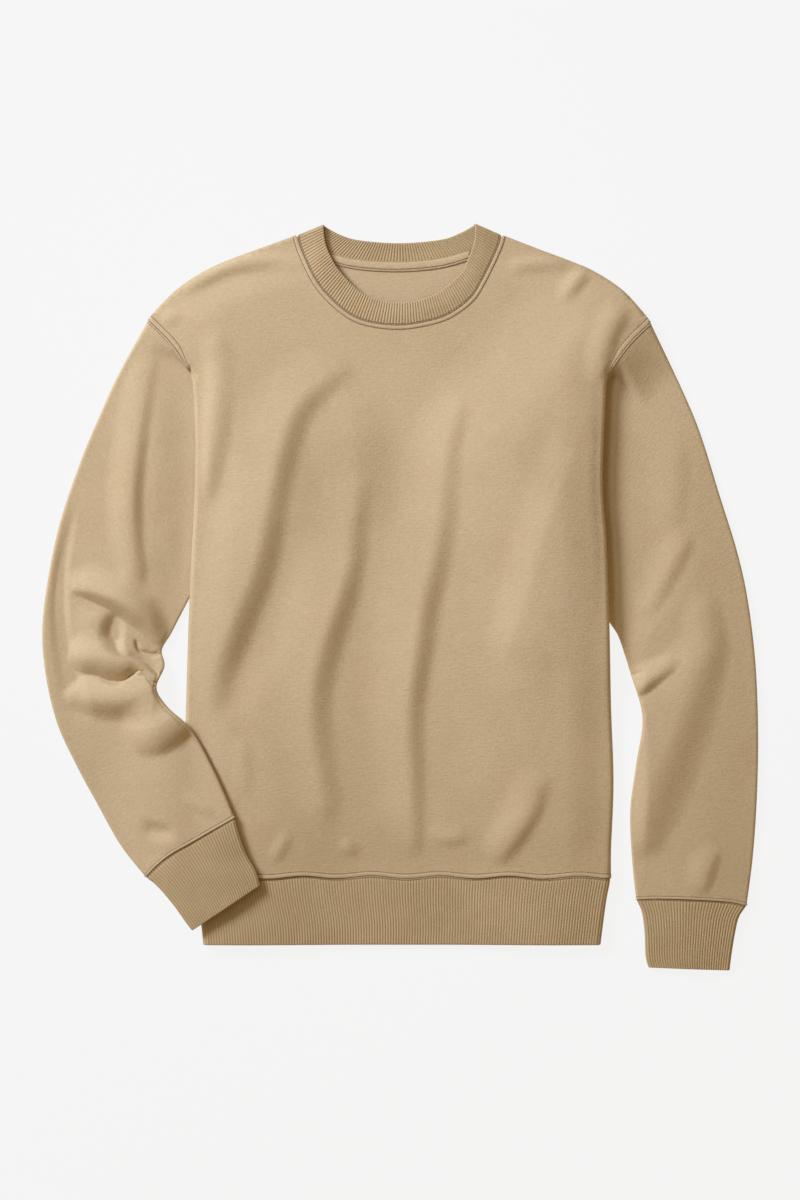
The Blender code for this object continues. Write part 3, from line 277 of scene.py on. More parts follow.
sleeveRightFolds = [
    slope([  # down the upper sleeve
        (-235, 275, 10, 18, 0), (-240, 252, 11, 22, 1.8), (-248, 217, 13, 26, 2.8),
        (-254, 177, 14, 28, 3.6), (-259, 137, 14, 28, 5), (-262, 97, 14, 28, 5.8), (-261, 57, 14, 26, 5.2),
        (-257, 27, 13, 22, 4), (-254, 2, 10, 16, 0)]),
    slope([  # over the elbow, above the first crease
        (-234, -56, 8, 10, 0), (-245, -42, 12, 16, 4.4), (-255, -30, 14, 20, 8.8),
        (-265, -21.4, 16, 24, 11.8), (-275, -13.6, 16, 26, 13), (-285, -7.6, 15, 28, 12.8),
        (-295, -3, 13.5, 28, 11.6), (-305, 1, 12, 28, 9.6), (-315, 4, 10.5, 26, 7.4),
        (-324, 5.4, 9, 20, 4), (-334, 4, 8, 14, 0)], (-0.3, 0.0)),
    fold([  # the bent crease beneath it
        (-284, -12, 8, 9, 0), (-285.5, -20, 12, 13, -3), (-286.5, -29, 14, 16, -5.6),
        (-286.5, -39, 13, 17, -7), (-285, -48, 11, 13, -6.8), (-281, -55, 9, 7, -5.6),
        (-275, -59, 8, 4, -4.6), (-266, -61.2, 7, 3.5, -4.4), (-256, -65.5, 6, 3.5, -4.6),
        (-247, -72.5, 6, 3.5, -4.6), (-239, -79, 5, 3, -3.4), (-231, -86, 4, 3, 0)], (0.0, 0.3)),
    fold([(-302, -6, 16, 20, 0), (-304, -20, 18, 26, 2.4), (-304, -34, 18, 26, 2.6),
        (-303, -48, 16, 20, 0)]),
    fold([  # the roll below it
        (-336, -54, 20, 12, 0), (-326, -57, 24, 15, 5), (-314, -58.2, 28, 18, 9.6),
        (-300, -59.4, 28, 20, 12), (-288, -62, 26, 21, 13), (-275, -64.6, 22, 19, 12.4),
        (-265, -67, 16, 12, 9), (-255, -72, 12, 7, 6), (-246, -80.6, 8, 5, 4),
        (-236, -92, 5, 4, 0)], (0.0, -0.5)),
    fold([  # the curl at the inner edge
        (-266, -39, 4, 4, 0), (-264, -45.6, 5, 4, -2.6), (-263, -50.6, 5, 3.5, -4.4),
        (-260, -54.6, 5, 3, -5), (-253, -57.6, 6, 2.5, -5), (-247, -58.9, 6, 2.5, -5),
        (-242, -57.6, 6, 2.5, -4.4), (-238.5, -54.1, 5, 2.5, -3), (-235, -48, 3, 2, 0)], (0.5, 0.5)),
    fold([  # the forearm's fold, which lies on the upper arm
        (-342, -95, 22, 14, 0), (-326, -97, 26, 18, 5), (-312, -99, 30, 22, 9), (-295, -100, 34, 26, 12),
        (-278, -99.4, 36, 28, 13), (-260, -98, 38, 30, 12), (-246, -99, 38, 28, 9),
        (-226, -102, 30, 22, 0)], edge=[  # x, y, half its step
        (-344, -96, 9), (-328, -88, 8), (-320, -82.1, 6), (-312, -79.6, 4.5), (-304, -80.6, 3.5),
        (-294, -84.6, 2.6), (-285, -87.1, 2.2), (-278, -86.4, 1.6), (-272, -82.6, 1.2), (-266, -77.1, 1),
        (-261.5, -73.1, 1), (-259, -71.9, 1), (-256, -74.1, 1), (-250, -81, 1), (-244, -88, 1),
        (-236, -92, 1.2), (-222, -92, 1.5)]),
    fold([  # the nick under its tip
        (-276, -86, 2, 2, 0), (-268, -79.6, 2, 2, -2), (-260, -73.2, 2, 2, -3), (-255, -76.6, 2, 2, -3),
        (-249, -85, 2, 2, -2.6), (-243, -94, 2, 2, -1.6), (-236, -104, 2, 2, 0)], (0.3, 0.3)),
    fold([  # the crease by the body's edge
        (-276, -144, 22, 18, 0), (-266, -139, 28, 22, 4.6), (-256, -134, 32, 26, 9),
        (-246, -129.6, 34, 28, 11.6), (-235, -125, 32, 27, 12), (-224, -121.6, 28, 24, 10.4),
        (-212, -120, 22, 18, 7), (-198, -120, 12, 10, 0)], (0.0, -0.7)),
    fold([
        (-262, -222, 10, 11, 0), (-246, -232, 11, 12, -4), (-232, -234, 10, 11, -3),
        (-220, -231, 8, 9, 0)]),
    fold([
        (-222, -196, 9, 9, 0), (-206, -203, 10, 10, 1.6), (-192, -212, 9, 9, 1.4), (-184, -218, 6, 6, 0)]),
    fold([  # hollow beside the outer edge
        (-324, 104, 8, 12, 0), (-333, 64, 9, 14, -2), (-339, 26, 10, 15, -3.6), (-339.5, -4, 10, 16, -4),
        (-336, -43, 10, 17, -4), (-328, -74, 11, 22, -4.4), (-319, -104, 12, 24, -3),
        (-309, -132, 10, 18, 0)]),
    fold([  # slack cloth beside the body
        (-226, 95, 12, 18, 0), (-222, 66, 14, 24, 2), (-219, 40, 14, 24, 2.2), (-221, 10, 12, 18, 0)]),
]
sleeveLeftFolds = [
    slope([  # across the elbow
        (297, 66, 13, 20, 0), (288, 50, 16, 24, 3.4), (276, 28, 18, 26, 6.6), (264, 8, 19, 26, 7.2),
        (253, -10, 18, 24, 4.8), (244, -26, 14, 18, 0)]),
    slope([  # down the forearm
        (306, 18, 18, 22, 0), (315, -14, 22, 28, 3), (319, -52, 28, 36, 5), (307, -92, 38, 50, 7),
        (293, -134, 44, 120, 8.6), (277, -178, 48, 150, 9.4), (263, -218, 44, 140, 8),
        (256, -246, 32, 70, 4.6), (250, -270, 18, 24, 0)]),
    slope([  # the crease at the inner edge
        (282, -60, 7, 10, 0), (272, -70, 9, 14, 2.4), (261, -79, 10, 18, 4.8), (252, -85.5, 11, 20, 6),
        (243, -92.5, 10, 18, 6), (236, -98, 8, 14, 4.4), (226, -105, 6, 8, 0)], (-0.4, 0.0)),
    fold([(228, -79, 3, 3, 0), (233, -77.5, 3.4, 3.4, -2.4), (242, -75, 3.4, 3.4, -1.6),
        (248, -74, 3, 3, 0)], (0.5, 0.5)),
    slope([
        (323, -246, 9, 14, 0), (317, -262, 12, 22, 2), (312, -276, 13, 24, 2.8), (308, -290, 12, 20, 2),
        (305, -301, 8, 12, 0)]),
    fold([(268, 180, 18, 26, 0), (272, 140, 22, 32, 1.8), (268, 90, 22, 32, 2.2), (256, 50, 20, 26, 0)]),
]


def foldHeight(x, y, folds):
    total = np.zeros(x.shape)
    for line, profile, edge in folds:
        reach = line[:, 2:4].max()
        near = (x > line[:, 0].min() - reach) & (x < line[:, 0].max() + reach)
        near &= (y > line[:, 1].min() - reach) & (y < line[:, 1].max() + reach)
        if not near.any():
            continue
        away, place, side = nearest(x[near], y[near], line)
        spots = np.arange(len(line))
        left, right, height = (np.interp(place, spots, line[:, column]) for column in (2, 3, 4))
        height = height * ease(0, foldPieces, place) * ease(0, foldPieces, spots[-1] - place)
        # the two sides are blended next to the line, so that a fold's end stays round
        blend = 0.5 + 0.5 * np.clip(side * away / foldBlend, -1, 1)
        t = np.clip(away / mix(right, left, blend), 0.0, 1.0)
        sharp = mix(profile[1], profile[0], blend)
        soft = 0.5 + 0.5 * np.cos(np.pi * t)
        risen = mix(soft, np.where(sharp > 0, (1 - t) ** 2, 1 - t ** 3), np.abs(sharp))
        if edge is not None:  # the fold ends in a step along this line, and lies to the right of it
            gone, spot, edgeSide = nearest(x[near], y[near], edge)
            half = np.interp(spot, np.arange(len(edge)), edge[:, 2])
            risen = risen * ease(-1, 1, -edgeSide * gone / half)
        total[near] += height * risen
    return total


class Side:  # one side of the body
    def __init__(self, sign, crease, armhole, stations, shoulder, emergesY):
        self.sign = sign
        self.creaseLine = smoothLine(crease)[::-1]
        self.topY = crease[0][1]
        self.armhole = smoothLine(armhole)
        bottomX = float(self.creaseX(layout["hemBottomY"]))
        below = layout["hemBottomY"] - 40
        edgeY = np.arange(int(self.topY), int(layout["hemBottomY"]), -40.0)[::-1]
        strip = armhole[3:] + [(sign * (abs(bottomX) - layout["stripRib"]), below), (bottomX, below)]
        self.stripOutline = np.array(strip + list(zip(self.creaseX(edgeY), edgeY)))
        inner = [(row[2], row[3]) for row in stations if row[3] > emergesY]
        hiddenY = np.arange(int(emergesY), int(self.topY), 30.0)
        covered = [armhole[3], armhole[4]] + inner + [(float(self.creaseX(emergesY)), emergesY)]
        self.coveredOutline = np.array(covered + list(zip(self.creaseX(hiddenY), hiddenY)))
        rising = np.vstack([spaced(self.creaseLine, 40), np.array(armhole[3::-1])])
        self.silhouette = np.vstack([rising, spaced(smoothLine(shoulder), 30)[::-1]])

    def creaseX(self, y):  # where the cloth turns under, above the armhole it runs off to the side
        x = np.interp(y, self.creaseLine[:, 1], self.creaseLine[:, 0])
        return x + self.sign * 3.0 * np.maximum(np.asarray(y, float) - self.topY, 0.0)

    def foldStart(self, y):  # how far out the cloth begins to turn under
        return self.sign * self.creaseX(y) - foldInset

    def stripWidth(self, y):
        rise = np.clip((y - layout["hemSeamY"]) / (layout["armpitY"] - layout["hemSeamY"]), 0, 1)
        width = mix(layout["stripHem"], layout["stripArmpit"], rise)
        return mix(layout["stripRib"], width, ease(layout["hemSeamY"], layout["hemSeamY"] + 50, y))


rightSide = Side(-1, creaseRight, armholeRight, sleeveRightStations, shoulderRight, 2.0)
leftSide = Side(1, creaseLeft, armholeLeft, sleeveLeftStations, shoulderLeft, -24.0)


def bySide(x, right, left):  # each half of the body has its own side's value
    return np.where(np.asarray(x, float) < 0, right, left)


def halfWidth(x, y):  # how far out the crease lies on this half
    return bySide(x, -rightSide.creaseX(y), leftSide.creaseX(y))


def awayFrom(x, y, right, left):  # distance outside the outline on this half
    return bySide(x, distanceOutside(x, y, right), distanceOutside(x, y, left))


def shareLeft(distance):  # how much of a layer's height is left this far from its edge
    return 1 - ease(layout["drapeMargin"], layout["drapeMargin"] + layout["drape"], distance)


def sleeveBeneath(x, y):
    away = awayFrom(x, y, rightSide.coveredOutline, leftSide.coveredOutline)
    return bySide(x, *layout["sleeveStack"]) * shareLeft(away)


def frontStripZ(x, y):
    return sleeveBeneath(x, y) + layout["cloth"] / 2


def backStripZ(x, y):
    return frontStripZ(x, y) + clothStep


def backZ(x, y):
    away = awayFrom(x, y, rightSide.stripOutline, leftSide.stripOutline)
    strips = 2 * clothStep + 2 * layout["innerFold"] - layout["cloth"]
    return layout["cloth"] / 2 + strips * shareLeft(away) + sleeveBeneath(x, y)


def softFloor(value, soft=1.6):  # like a floor at 0, with a rounded corner
    return 0.5 * (value + np.sqrt(value * value + soft * soft)) - 0.5 * soft * np.exp(-value * value / 8)


def frontAir(x, y):  # air between front and back
    away = bySide(x, nearest(x, y, rightSide.silhouette)[0], nearest(x, y, leftSide.silhouette)[0])
    low = 1 - layout["airLost"] * ease(layout["hemSeamY"] + layout["airFades"], layout["hemSeamY"], y)
    air = layout["air"] * ease(0, layout["airSoftness"], away) * low
    folds = foldHeight(x, y, bodyFolds) * ease(0, layout["foldSoftness"], away)
    shoulders = foldHeight(x, y, shoulderFolds) * ease(0, layout["shoulderSoftness"], away)
    return softFloor(air + folds + shoulders)


def frontZ(x, y):
    return backZ(x, y) + clothStep + frontAir(x, y)


def hemShift(x, y):  # the hem's seam runs in a slight wave
    wave = -layout["hemWave"] * np.cos(2 * np.pi * (x + layout["hemWaveShift"]) / layout["hemWaveLength"])
    return wave * (1 - ease(0, layout["hemWaveReach"], np.abs(y - layout["hemSeamY"])))


def addObject(name, data):
    made = bpy.data.objects.new(name, data)
    bpy.context.scene.collection.objects.link(made)
    return made


def addMesh(name, points, faces, uvTable, uvFaces, attributes):
    points = points + np.array(layout["shift"])
    loops = [corner for block in faces for corner in block.tolist()]
    mesh = bpy.data.meshes.new(name)
    mesh.from_pydata((points * mm).tolist(), [], loops)
    mesh.update()
    corners = np.concatenate([block.ravel() for block in uvFaces])
    layer = mesh.uv_layers.new(name="cloth")
    layer.data.foreach_set("uv", (uvTable[corners] * mm).ravel())
    for key, values in attributes.items():
        kind = "FLOAT" if values.ndim == 1 else "FLOAT_VECTOR"
        made = mesh.attributes.new(key, kind, "POINT")
        made.data.foreach_set("value" if values.ndim == 1 else "vector", values.astype(np.float32).ravel())
    mesh.polygons.foreach_set("use_smooth", [True] * len(mesh.polygons))
    return addObject(name, mesh)


def normalsOf(points, triangles):
    corners = points[triangles]
    facing = np.cross(corners[:, 1] - corners[:, 0], corners[:, 2] - corners[:, 0])
    normals = np.zeros_like(points)
    for k in range(3):
        np.add.at(normals, triangles[:, k], facing)
    return normals / np.maximum(np.linalg.norm(normals, axis=1), 1e-12)[:, None]


def turnedOutward(points, faces):  # faces of a closed shell, reversed where it is inside out
    volume = 0.0
    for block in faces:
        for k in range(1, block.shape[1] - 1):
            a, b, c = points[block[:, 0]], points[block[:, k]], points[block[:, k + 1]]
            volume += np.einsum("ij,ij->", a, np.cross(b, c))
    return [block if volume > 0 else block[:, ::-1] for block in faces], volume > 0


def sheetShell(name, flat, triangles, place, wall, outerUp, raised, attributes):
    middle = place(flat[:, 0], flat[:, 1])
    normals = normalsOf(middle, triangles)  # up where the sheet is on top
    above = middle + normals * (wall / 2 + raised * outerUp)[:, None]
    below = middle - normals * (wall / 2 + raised * (not outerUp))[:, None]
    count = len(flat)
    edges = np.vstack([triangles[:, [0, 1]], triangles[:, [1, 2]], triangles[:, [2, 0]]])
    keys = edges[:, 0] * count + edges[:, 1]
    rim = edges[~np.isin(keys, edges[:, 1] * count + edges[:, 0])]
    rim = np.column_stack([rim[:, 1], rim[:, 0], rim[:, 0] + count, rim[:, 1] + count])
    points = np.vstack([above, below])
    faces = turnedOutward(points, [triangles, triangles[:, ::-1] + count, rim])[0]
    both = {key: np.concatenate([values, values]) for key, values in attributes.items()}
    uv = np.vstack([flat, flat]) + np.array([300.0, 400.0])
    return addMesh(name, points, faces, uv, faces, both)


skins = {}  # for each tube and the tape: how far each row of its skin lies from the start, points to a row


def tubeShell(name, place, rows, columns, wall, raised, thickness, attributes):
    skins[name] = (rows, len(columns))
    v, u = np.meshgrid(rows, columns, indexing="ij")
    middle = place(u, v)
    across = np.roll(middle, -1, axis=1) - np.roll(middle, 1, axis=1)
    along = np.gradient(middle, axis=0)
    normals = np.cross(across, along)
    normals /= np.maximum(np.linalg.norm(normals, axis=2), 1e-12)[..., None]
    volume = np.einsum("ijk,ijk->", normals, middle - middle.mean(axis=(0, 1)))
    normals *= np.sign(volume)
    half = (wall / 2) * thickness[:, None]
    outer = middle + normals * (half + raised)[..., None]
    inner = middle - normals * half[..., None]
    rowCount, columnCount = u.shape
    index = np.arange(rowCount * columnCount).reshape(rowCount, columnCount)
    beside = np.roll(index, -1, axis=1)
    wide = np.arange(rowCount * (columnCount + 1)).reshape(rowCount, columnCount + 1)

    def quads(a, b, total):
        skin = np.stack([a[:-1], b[:-1], b[1:], a[1:]], axis=-1).reshape(-1, 4)
        first = np.stack([b[0], a[0], a[0] + total, b[0] + total], axis=-1)
        last = np.stack([a[-1], b[-1], b[-1] + total, a[-1] + total], axis=-1)
        return [skin, skin[:, ::-1] + total, first, last]

    faces = quads(index, beside, index.size)
    uvFaces = quads(wide[:, :-1], wide[:, 1:], wide.size)
    points = np.vstack([outer.reshape(-1, 3), inner.reshape(-1, 3)])
    faces, kept = turnedOutward(points, faces)
    if not kept:
        uvFaces = [block[:, ::-1] for block in uvFaces]
    ring = np.concatenate([middle, middle[:, :1]], axis=1)
    lengths = np.cumsum(np.linalg.norm(np.diff(ring, axis=1), axis=2), axis=1)
    lengths = np.hstack([np.zeros((rowCount, 1)), lengths])
    downs = np.concatenate([v, v[:, :1]], axis=1)
    uv = np.stack([lengths, downs], axis=-1).reshape(-1, 2)
    found = {}
    for key, skinValues in attributes.items():  # for the outer and the inner skin
        found[key] = np.concatenate([values.reshape((u.size,) + values.shape[2:]) for values in skinValues])
    return addMesh(name, points, faces, np.vstack([uv, uv]), uvFaces, found)


# Seams. off is how far a point lies from the seam, along how far it has come along it
seamReach = {"band": 0.9, "edge": 1.3, "groove": 0.55}  # mm in which each part of a seam's relief fades


def seamRaise(off, seam):
    bandEnd = seam["width"] - seamReach["band"], seam["width"] + seamReach["band"]
    band = seam["band"] * (1 - ease(*bandEnd, off))
    edge = seam["edge"] * (1 - ease(0, seamReach["edge"], off))
    groove = seam["groove"] * np.exp(-((off - seam["line"]) / seamReach["groove"]) ** 2)
    return band - edge - groove


stitchSizes = {"pitch": 2.2, "tapePitch": 3.0, "length": 1.4, "thickness": 0.5,
               "lift": 0.05, "ribLift": 0.25, "tapeLift": 0.15}
seams = {  # mm: band is how thick the seam allowance beneath makes the cloth, line the row of stitches
    "hem": {"band": 0.9, "width": 4.1, "edge": 0.35, "groove": 0.35, "line": 4.3},
    "cuff": {"band": 0.9, "width": 4.1, "edge": 0.35, "groove": 0.35, "line": 4.3},
    "neck": {"band": 0.8, "width": 4.0, "edge": 0.3, "groove": 0.4, "line": 4.3},
    "bodyArm": {"band": 0.3, "width": 4.6, "edge": 0.35, "groove": 0.3, "line": 4.9},
    "sleeveArm": {"band": 0.6, "width": 3.0, "edge": 0.4, "groove": 0.35, "line": 3.2},
    "rib": {"band": 0.0, "width": 2.0, "edge": 0.35, "groove": 0.3, "line": 1.7},
    "neckRib": {"band": 0.0, "width": 2.0, "edge": 0.3, "groove": 0.25, "line": 1.3},
}
seamRows = (0.6, 1.3, 2.2, 3.2, 4.0, 4.5, 5.1, 6.2, 8.2)
seamKinds = {"neck": "neck", "hem": "hem", "armRight": "bodyArm", "armLeft": "bodyArm"}
armSides = {"armRight": rightSide, "armLeft": leftSide}


def wellInside(points, outline, clear):
    kept = isInside(points[:, 0], points[:, 1], outline)
    closed = np.vstack([outline, outline[:1]])
    found = np.zeros(len(points), bool)
    inner = points[kept]
    found[kept] = nearest(inner[:, 0], inner[:, 1], closed)[0] > clear
    return found


def triangulated(outline, inner):
    points = np.vstack([outline, inner])
    count = len(outline)
    edges = [(i, (i + 1) % count) for i in range(count)]
    vectors = [Vector(point) for point in points.tolist()]
    flat, _, faces, _, _, _ = delaunay_2d_cdt(vectors, edges, [], 1, 1e-5)
    flat = np.array([tuple(point) for point in flat])
    triangles = np.array([face for face in faces if len(face) == 3])
    a, b, c = (flat[triangles[:, k]] for k in range(3))
    ab, ac = b - a, c - a
    area = ab[:, 0] * ac[:, 1] - ab[:, 1] * ac[:, 0]
    triangles = triangles[np.abs(area) > 1e-4]
    area = area[np.abs(area) > 1e-4]
    triangles[area < 0] = triangles[area < 0][:, ::-1]
    used, renumbered = np.unique(triangles, return_inverse=True)
    return flat[used], renumbered.reshape(-1, 3)


def thinned(points, spacing):  # leaves out points closer than spacing to one already kept
    cells = {}
    kept = []
    for x, y in points.tolist():
        i, j = int(x // spacing), int(y // spacing)
        near = [p for a in (-1, 0, 1) for b in (-1, 0, 1) for p in cells.get((i + a, j + b), ())]
        if all((x - px) ** 2 + (y - py) ** 2 > spacing * spacing for px, py in near):
            cells.setdefault((i, j), []).append((x, y))
            kept.append((x, y))
    return np.array(kept)


panelSizes = {  # mm, but gridClear is a share of a step and the two fades of the half turn
    "clear": 0.45, "apart": 0.55, "gridClear": 0.4, "turnRows": 10, "turnAbove": 14, "turnBelow": 11,
    "seamFades": (0.2, 0.55), "raisedFades": (0.3, 0.8), "narrowest": 0.25, "narrows": (24, 1),
}


class Panel:  # a body panel, flat as it is cut and as it lies with its sides turned under
    def __init__(self, name, top, strip, radius, neck, corner):
        self.name = name
        self.top = top
        self.strip = strip
        self.radius = radius
        self.neck = self.neckCut(neck, corner)

    def sided(self, x, y):
        return bySide(x, -1.0, 1.0), halfWidth(x, y) - foldInset

    def beyond(self, x, y):  # how far past the start of its side's fold a point of the flat cloth lies
        sign, start = self.sided(x, y)
        return sign * x - start

    def place(self, x, y):
        sign, start = self.sided(x, y)
        beyond = sign * x - start
        high = self.top(sign * start, y)
        low = self.strip(sign * start, y)
        radius = (high - low) / 2
        turn = np.clip(beyond / radius, 0, np.pi)
        m = start + radius * np.sin(turn)
        m = np.where(beyond < np.pi * radius, m, start - (beyond - np.pi * radius))
        z = (high + low) / 2 + radius * np.cos(turn)
        beneath = beyond >= np.pi * radius
        z = np.where(beneath, self.strip(np.where(beneath, sign * m, sign * start), y), z)
        onTop = beyond <= 0
        z = np.where(onTop, self.top(np.where(onTop, x, sign * start), y), z)
        placedX = np.where(onTop, x, sign * m)
        return np.stack([placedX, y + hemShift(placedX, y), z], axis=-1)

    def neckCut(self, points, corner):  # a seam's gap outside the neckband, and clear of its folds
        places = np.linspace(0, 1, 41)
        line = smoothLine(points)
        x, y = pointAt(line, places)
        gap = layout["seamGap"] + corner * (1 - ease(0, 0.06, np.minimum(places, 1 - places)))
        run = pointsAt(line, places + 0.01) - pointsAt(line, places - 0.01)
        run /= np.hypot(run[:, 0], run[:, 1])[:, None]
        return np.column_stack([x + gap * run[:, 1], y - gap * run[:, 0]])

    def seamX(self, side, y):
        return side.sign * (side.foldStart(y) + np.pi * self.radius + side.stripWidth(y))

    def armholeLine(self, side):  # flat, from the shoulder point to the armpit
        curve = pointsAt(side.armhole, np.linspace(0, 1, 401))
        visible = curve[curve[:, 1] >= side.topY + 1.0]
        crossing = (len(visible) - 1) / 400
        endX, low = visible[-1]
        gone = (side.sign * endX - side.foldStart(low)) / (np.pi * self.radius)
        k = mix(min(max(float(gone), 0.0), 0.45), 1.0, np.arange(1, 6) / 5)
        y = low + 0.2 - 1.2 * np.arange(1, 6)
        turning = np.column_stack([side.sign * (side.foldStart(y) + np.pi * self.radius * k), y])
        hidden = pointsAt(side.armhole, mix(crossing + 0.06, 1.0, np.arange(1, 13) / 12))
        start = side.foldStart(hidden[:, 1])
        unfolded = side.sign * (start + np.pi * self.radius + start - side.sign * hidden[:, 0])
        return np.vstack([visible[::6], turning, np.column_stack([unfolded, hidden[:, 1]])])

    def narrowing(self, side, along):  # the armhole's rows close in on the seam towards the body's edge
        curve = pointsAt(side.armhole, np.linspace(0, 1, 401))
        end = lengthsOf(curve[curve[:, 1] >= side.topY + 1.0])[-1]
        far, near = panelSizes["narrows"]
        return mix(1.0, panelSizes["narrowest"], ease(end - far, end - near, along)), end

    def seamLines(self):
        hemY = layout["hemSeamY"] + layout["seamGap"]
        hem = np.array([(self.seamX(rightSide, hemY), hemY), (self.seamX(leftSide, hemY), hemY)])
        lines = {"neck": self.neck, "hem": spaced(hem, 3.0)}
        lines["armRight"] = self.armholeLine(rightSide)
        lines["armLeft"] = self.armholeLine(leftSide)
        return lines

    def outline(self, lines, step):
        def sideSeam(side):
            y = np.arange(layout["armpitY"] - 8, layout["hemSeamY"] + 4, -step * 2)
            return np.column_stack([self.seamX(side, y), y])

        shoulders = [spaced(smoothLine(points), step * 1.5) for points in (shoulderRight, shoulderLeft)]
        points = [spaced(lines["neck"], step)[1:-1], shoulders[1][:-1], spaced(lines["armLeft"], step)]
        points += [sideSeam(leftSide), lines["hem"][::-1], sideSeam(rightSide)[::-1]]
        points += [spaced(lines["armRight"], step)[::-1], shoulders[0][::-1][1:]]
        return np.vstack(points)[::-1]

    def build(self, step, seamStep, outerUp):  # step and seamStep are how far apart its points lie
        lines = self.seamLines()
        outline = self.outline(lines, seamStep)
        bands = [outline]
        for line in lines.values():
            fine = spaced(line, seamStep)
            for row in seamRows:
                bands += [offsetLine(fine, row), offsetLine(fine, -row)]
        bands = np.vstack(bands[1:])
        bands = bands[wellInside(bands, outline, panelSizes["clear"])]
        folds = []
        for side in (rightSide, leftSide):
            above, below = panelSizes["turnAbove"], panelSizes["turnBelow"]
            y = np.arange(side.topY - above, layout["hemSeamY"] + below, -step)
            for turn in np.arange(panelSizes["turnRows"] + 1) / panelSizes["turnRows"]:
                x = side.sign * (side.foldStart(y) + np.pi * self.radius * turn)
                folds.append(np.column_stack([x, y]))
        folds = np.vstack(folds)
        low, high = outline.min(axis=0), outline.max(axis=0)
        rise = step * math.sqrt(3) / 2
        rows = np.arange(int((high[1] - low[1]) / rise) + 1)
        columns = np.arange(int((high[0] - low[0]) / step) + 1)
        j, i = np.meshgrid(rows, columns, indexing="ij")
        gridX = low[0] + (i + 0.25 + 0.5 * (j % 2)) * step
        grid = np.column_stack([gridX.ravel(), (low[1] + (j + 0.5) * rise).ravel()])
        beyond, clear = self.beyond(*grid.T), panelSizes["gridClear"] * step
        grid = grid[(beyond < -clear) | (beyond > np.pi * self.radius + clear)]
        sparse = np.vstack([folds, grid])
        sparse = sparse[wellInside(sparse, outline, clear)]
        away = np.min([nearest(sparse[:, 0], sparse[:, 1], line)[0] for line in lines.values()], axis=0)
        sparse = sparse[away > seamRows[-1] + 0.35 * step]
        flat, triangles = triangulated(outline, thinned(np.vstack([bands, sparse]), panelSizes["apart"]))
        turned = self.beyond(*flat.T) / (np.pi * self.radius)
        off = np.full(len(flat), 99.0)
        seam = np.full((len(flat), 3), 99.0)
        raised = np.zeros(len(flat))
        for key, line in lines.items():
            distance, spot, _ = nearest(flat[:, 0], flat[:, 1], line)
            closer = distance < off
            kind = seams[seamKinds[key]]
            off[closer] = distance[closer]
            along = np.interp(spot, np.arange(len(line)), lengthsOf(line))
            fade = 0.0 * distance
            if key in armSides:  # an armhole's seam fades where it goes round the side's fold
                fade = ease(*panelSizes["seamFades"], turned)
                distance = distance / self.narrowing(armSides[key], along)[0]
            shown = [along / stitchSizes["pitch"], distance - kind["line"] + 4 * fade, distance + 4 * fade]
            shown = np.column_stack(shown)
            seam[closer] = shown[closer]
            raised[closer] = (seamRaise(distance, kind) * (1 - fade))[closer]
        # the side turned under lies flat
        raised = raised * (1 - ease(*panelSizes["raisedFades"], turned)) * outerUp
        wall = layout["cloth"]
        return sheetShell(self.name, flat, triangles, self.place, wall, outerUp, raised, {"seam": seam})


# Sleeves and cuffs
rippleSizes = {"from": 12.0, "share": 0.5, "reach": 55.0}  # the body's folds run on a little into the hem


def hemBackZ(x, y):
    share = shareLeft(halfWidth(x, y) - layout["stripRib"] - np.abs(x))
    return layout["rib"] / 2 + (ribStep + 2 * layout["hemInnerFold"]) * share


def hemFrontZ(x, y):
    inwards = ease(0, layout["airSoftness"], halfWidth(x, y) - np.abs(x))
    folds = foldHeight(x, np.full(np.shape(x), layout["hemSeamY"] + rippleSizes["from"]), bodyFolds)
    ripple = rippleSizes["share"] * folds * (1 - ease(0, rippleSizes["reach"], layout["hemSeamY"] - y))
    return hemBackZ(x, y) + ribStep + layout["hemAir"] * inwards + ripple * inwards


forearm = {  # on the body's corner: ranges above the hem's seam and beside the body's edge, then ranges of Y
    "ribHeight": 0.5, "clear": 1.2, "overHem": (4, 26), "fall": (2, 90),
    "rises": (-50, -98), "frees": (-60, -105),
}


def onTopZ(x, y):  # the body's surface, eased down to the floor beyond its edge
    crease = rightSide.creaseX(y)
    innerX = np.maximum(x, crease + foldInset)
    body = frontZ(innerX, np.maximum(y, layout["hemSeamY"])) + layout["cloth"] / 2
    hem = hemFrontZ(innerX, y) + layout["rib"] / 2 + forearm["ribHeight"]
    top = mix(hem, body, ease(*forearm["overHem"], y - layout["hemSeamY"])) + forearm["clear"]
    return top * (1 - ease(*forearm["fall"], crease - x))


# Beside the body's edge the sleeve lies pressed down: how wide that valley is low down, the range of Y in
# which it widens, how far above the armhole's end it is gone, how soon the sleeve opens, how full it is
pressed = {"lowReach": 36, "widens": (-60, 40), "above": 30, "begun": 60, "bell": 1.5}


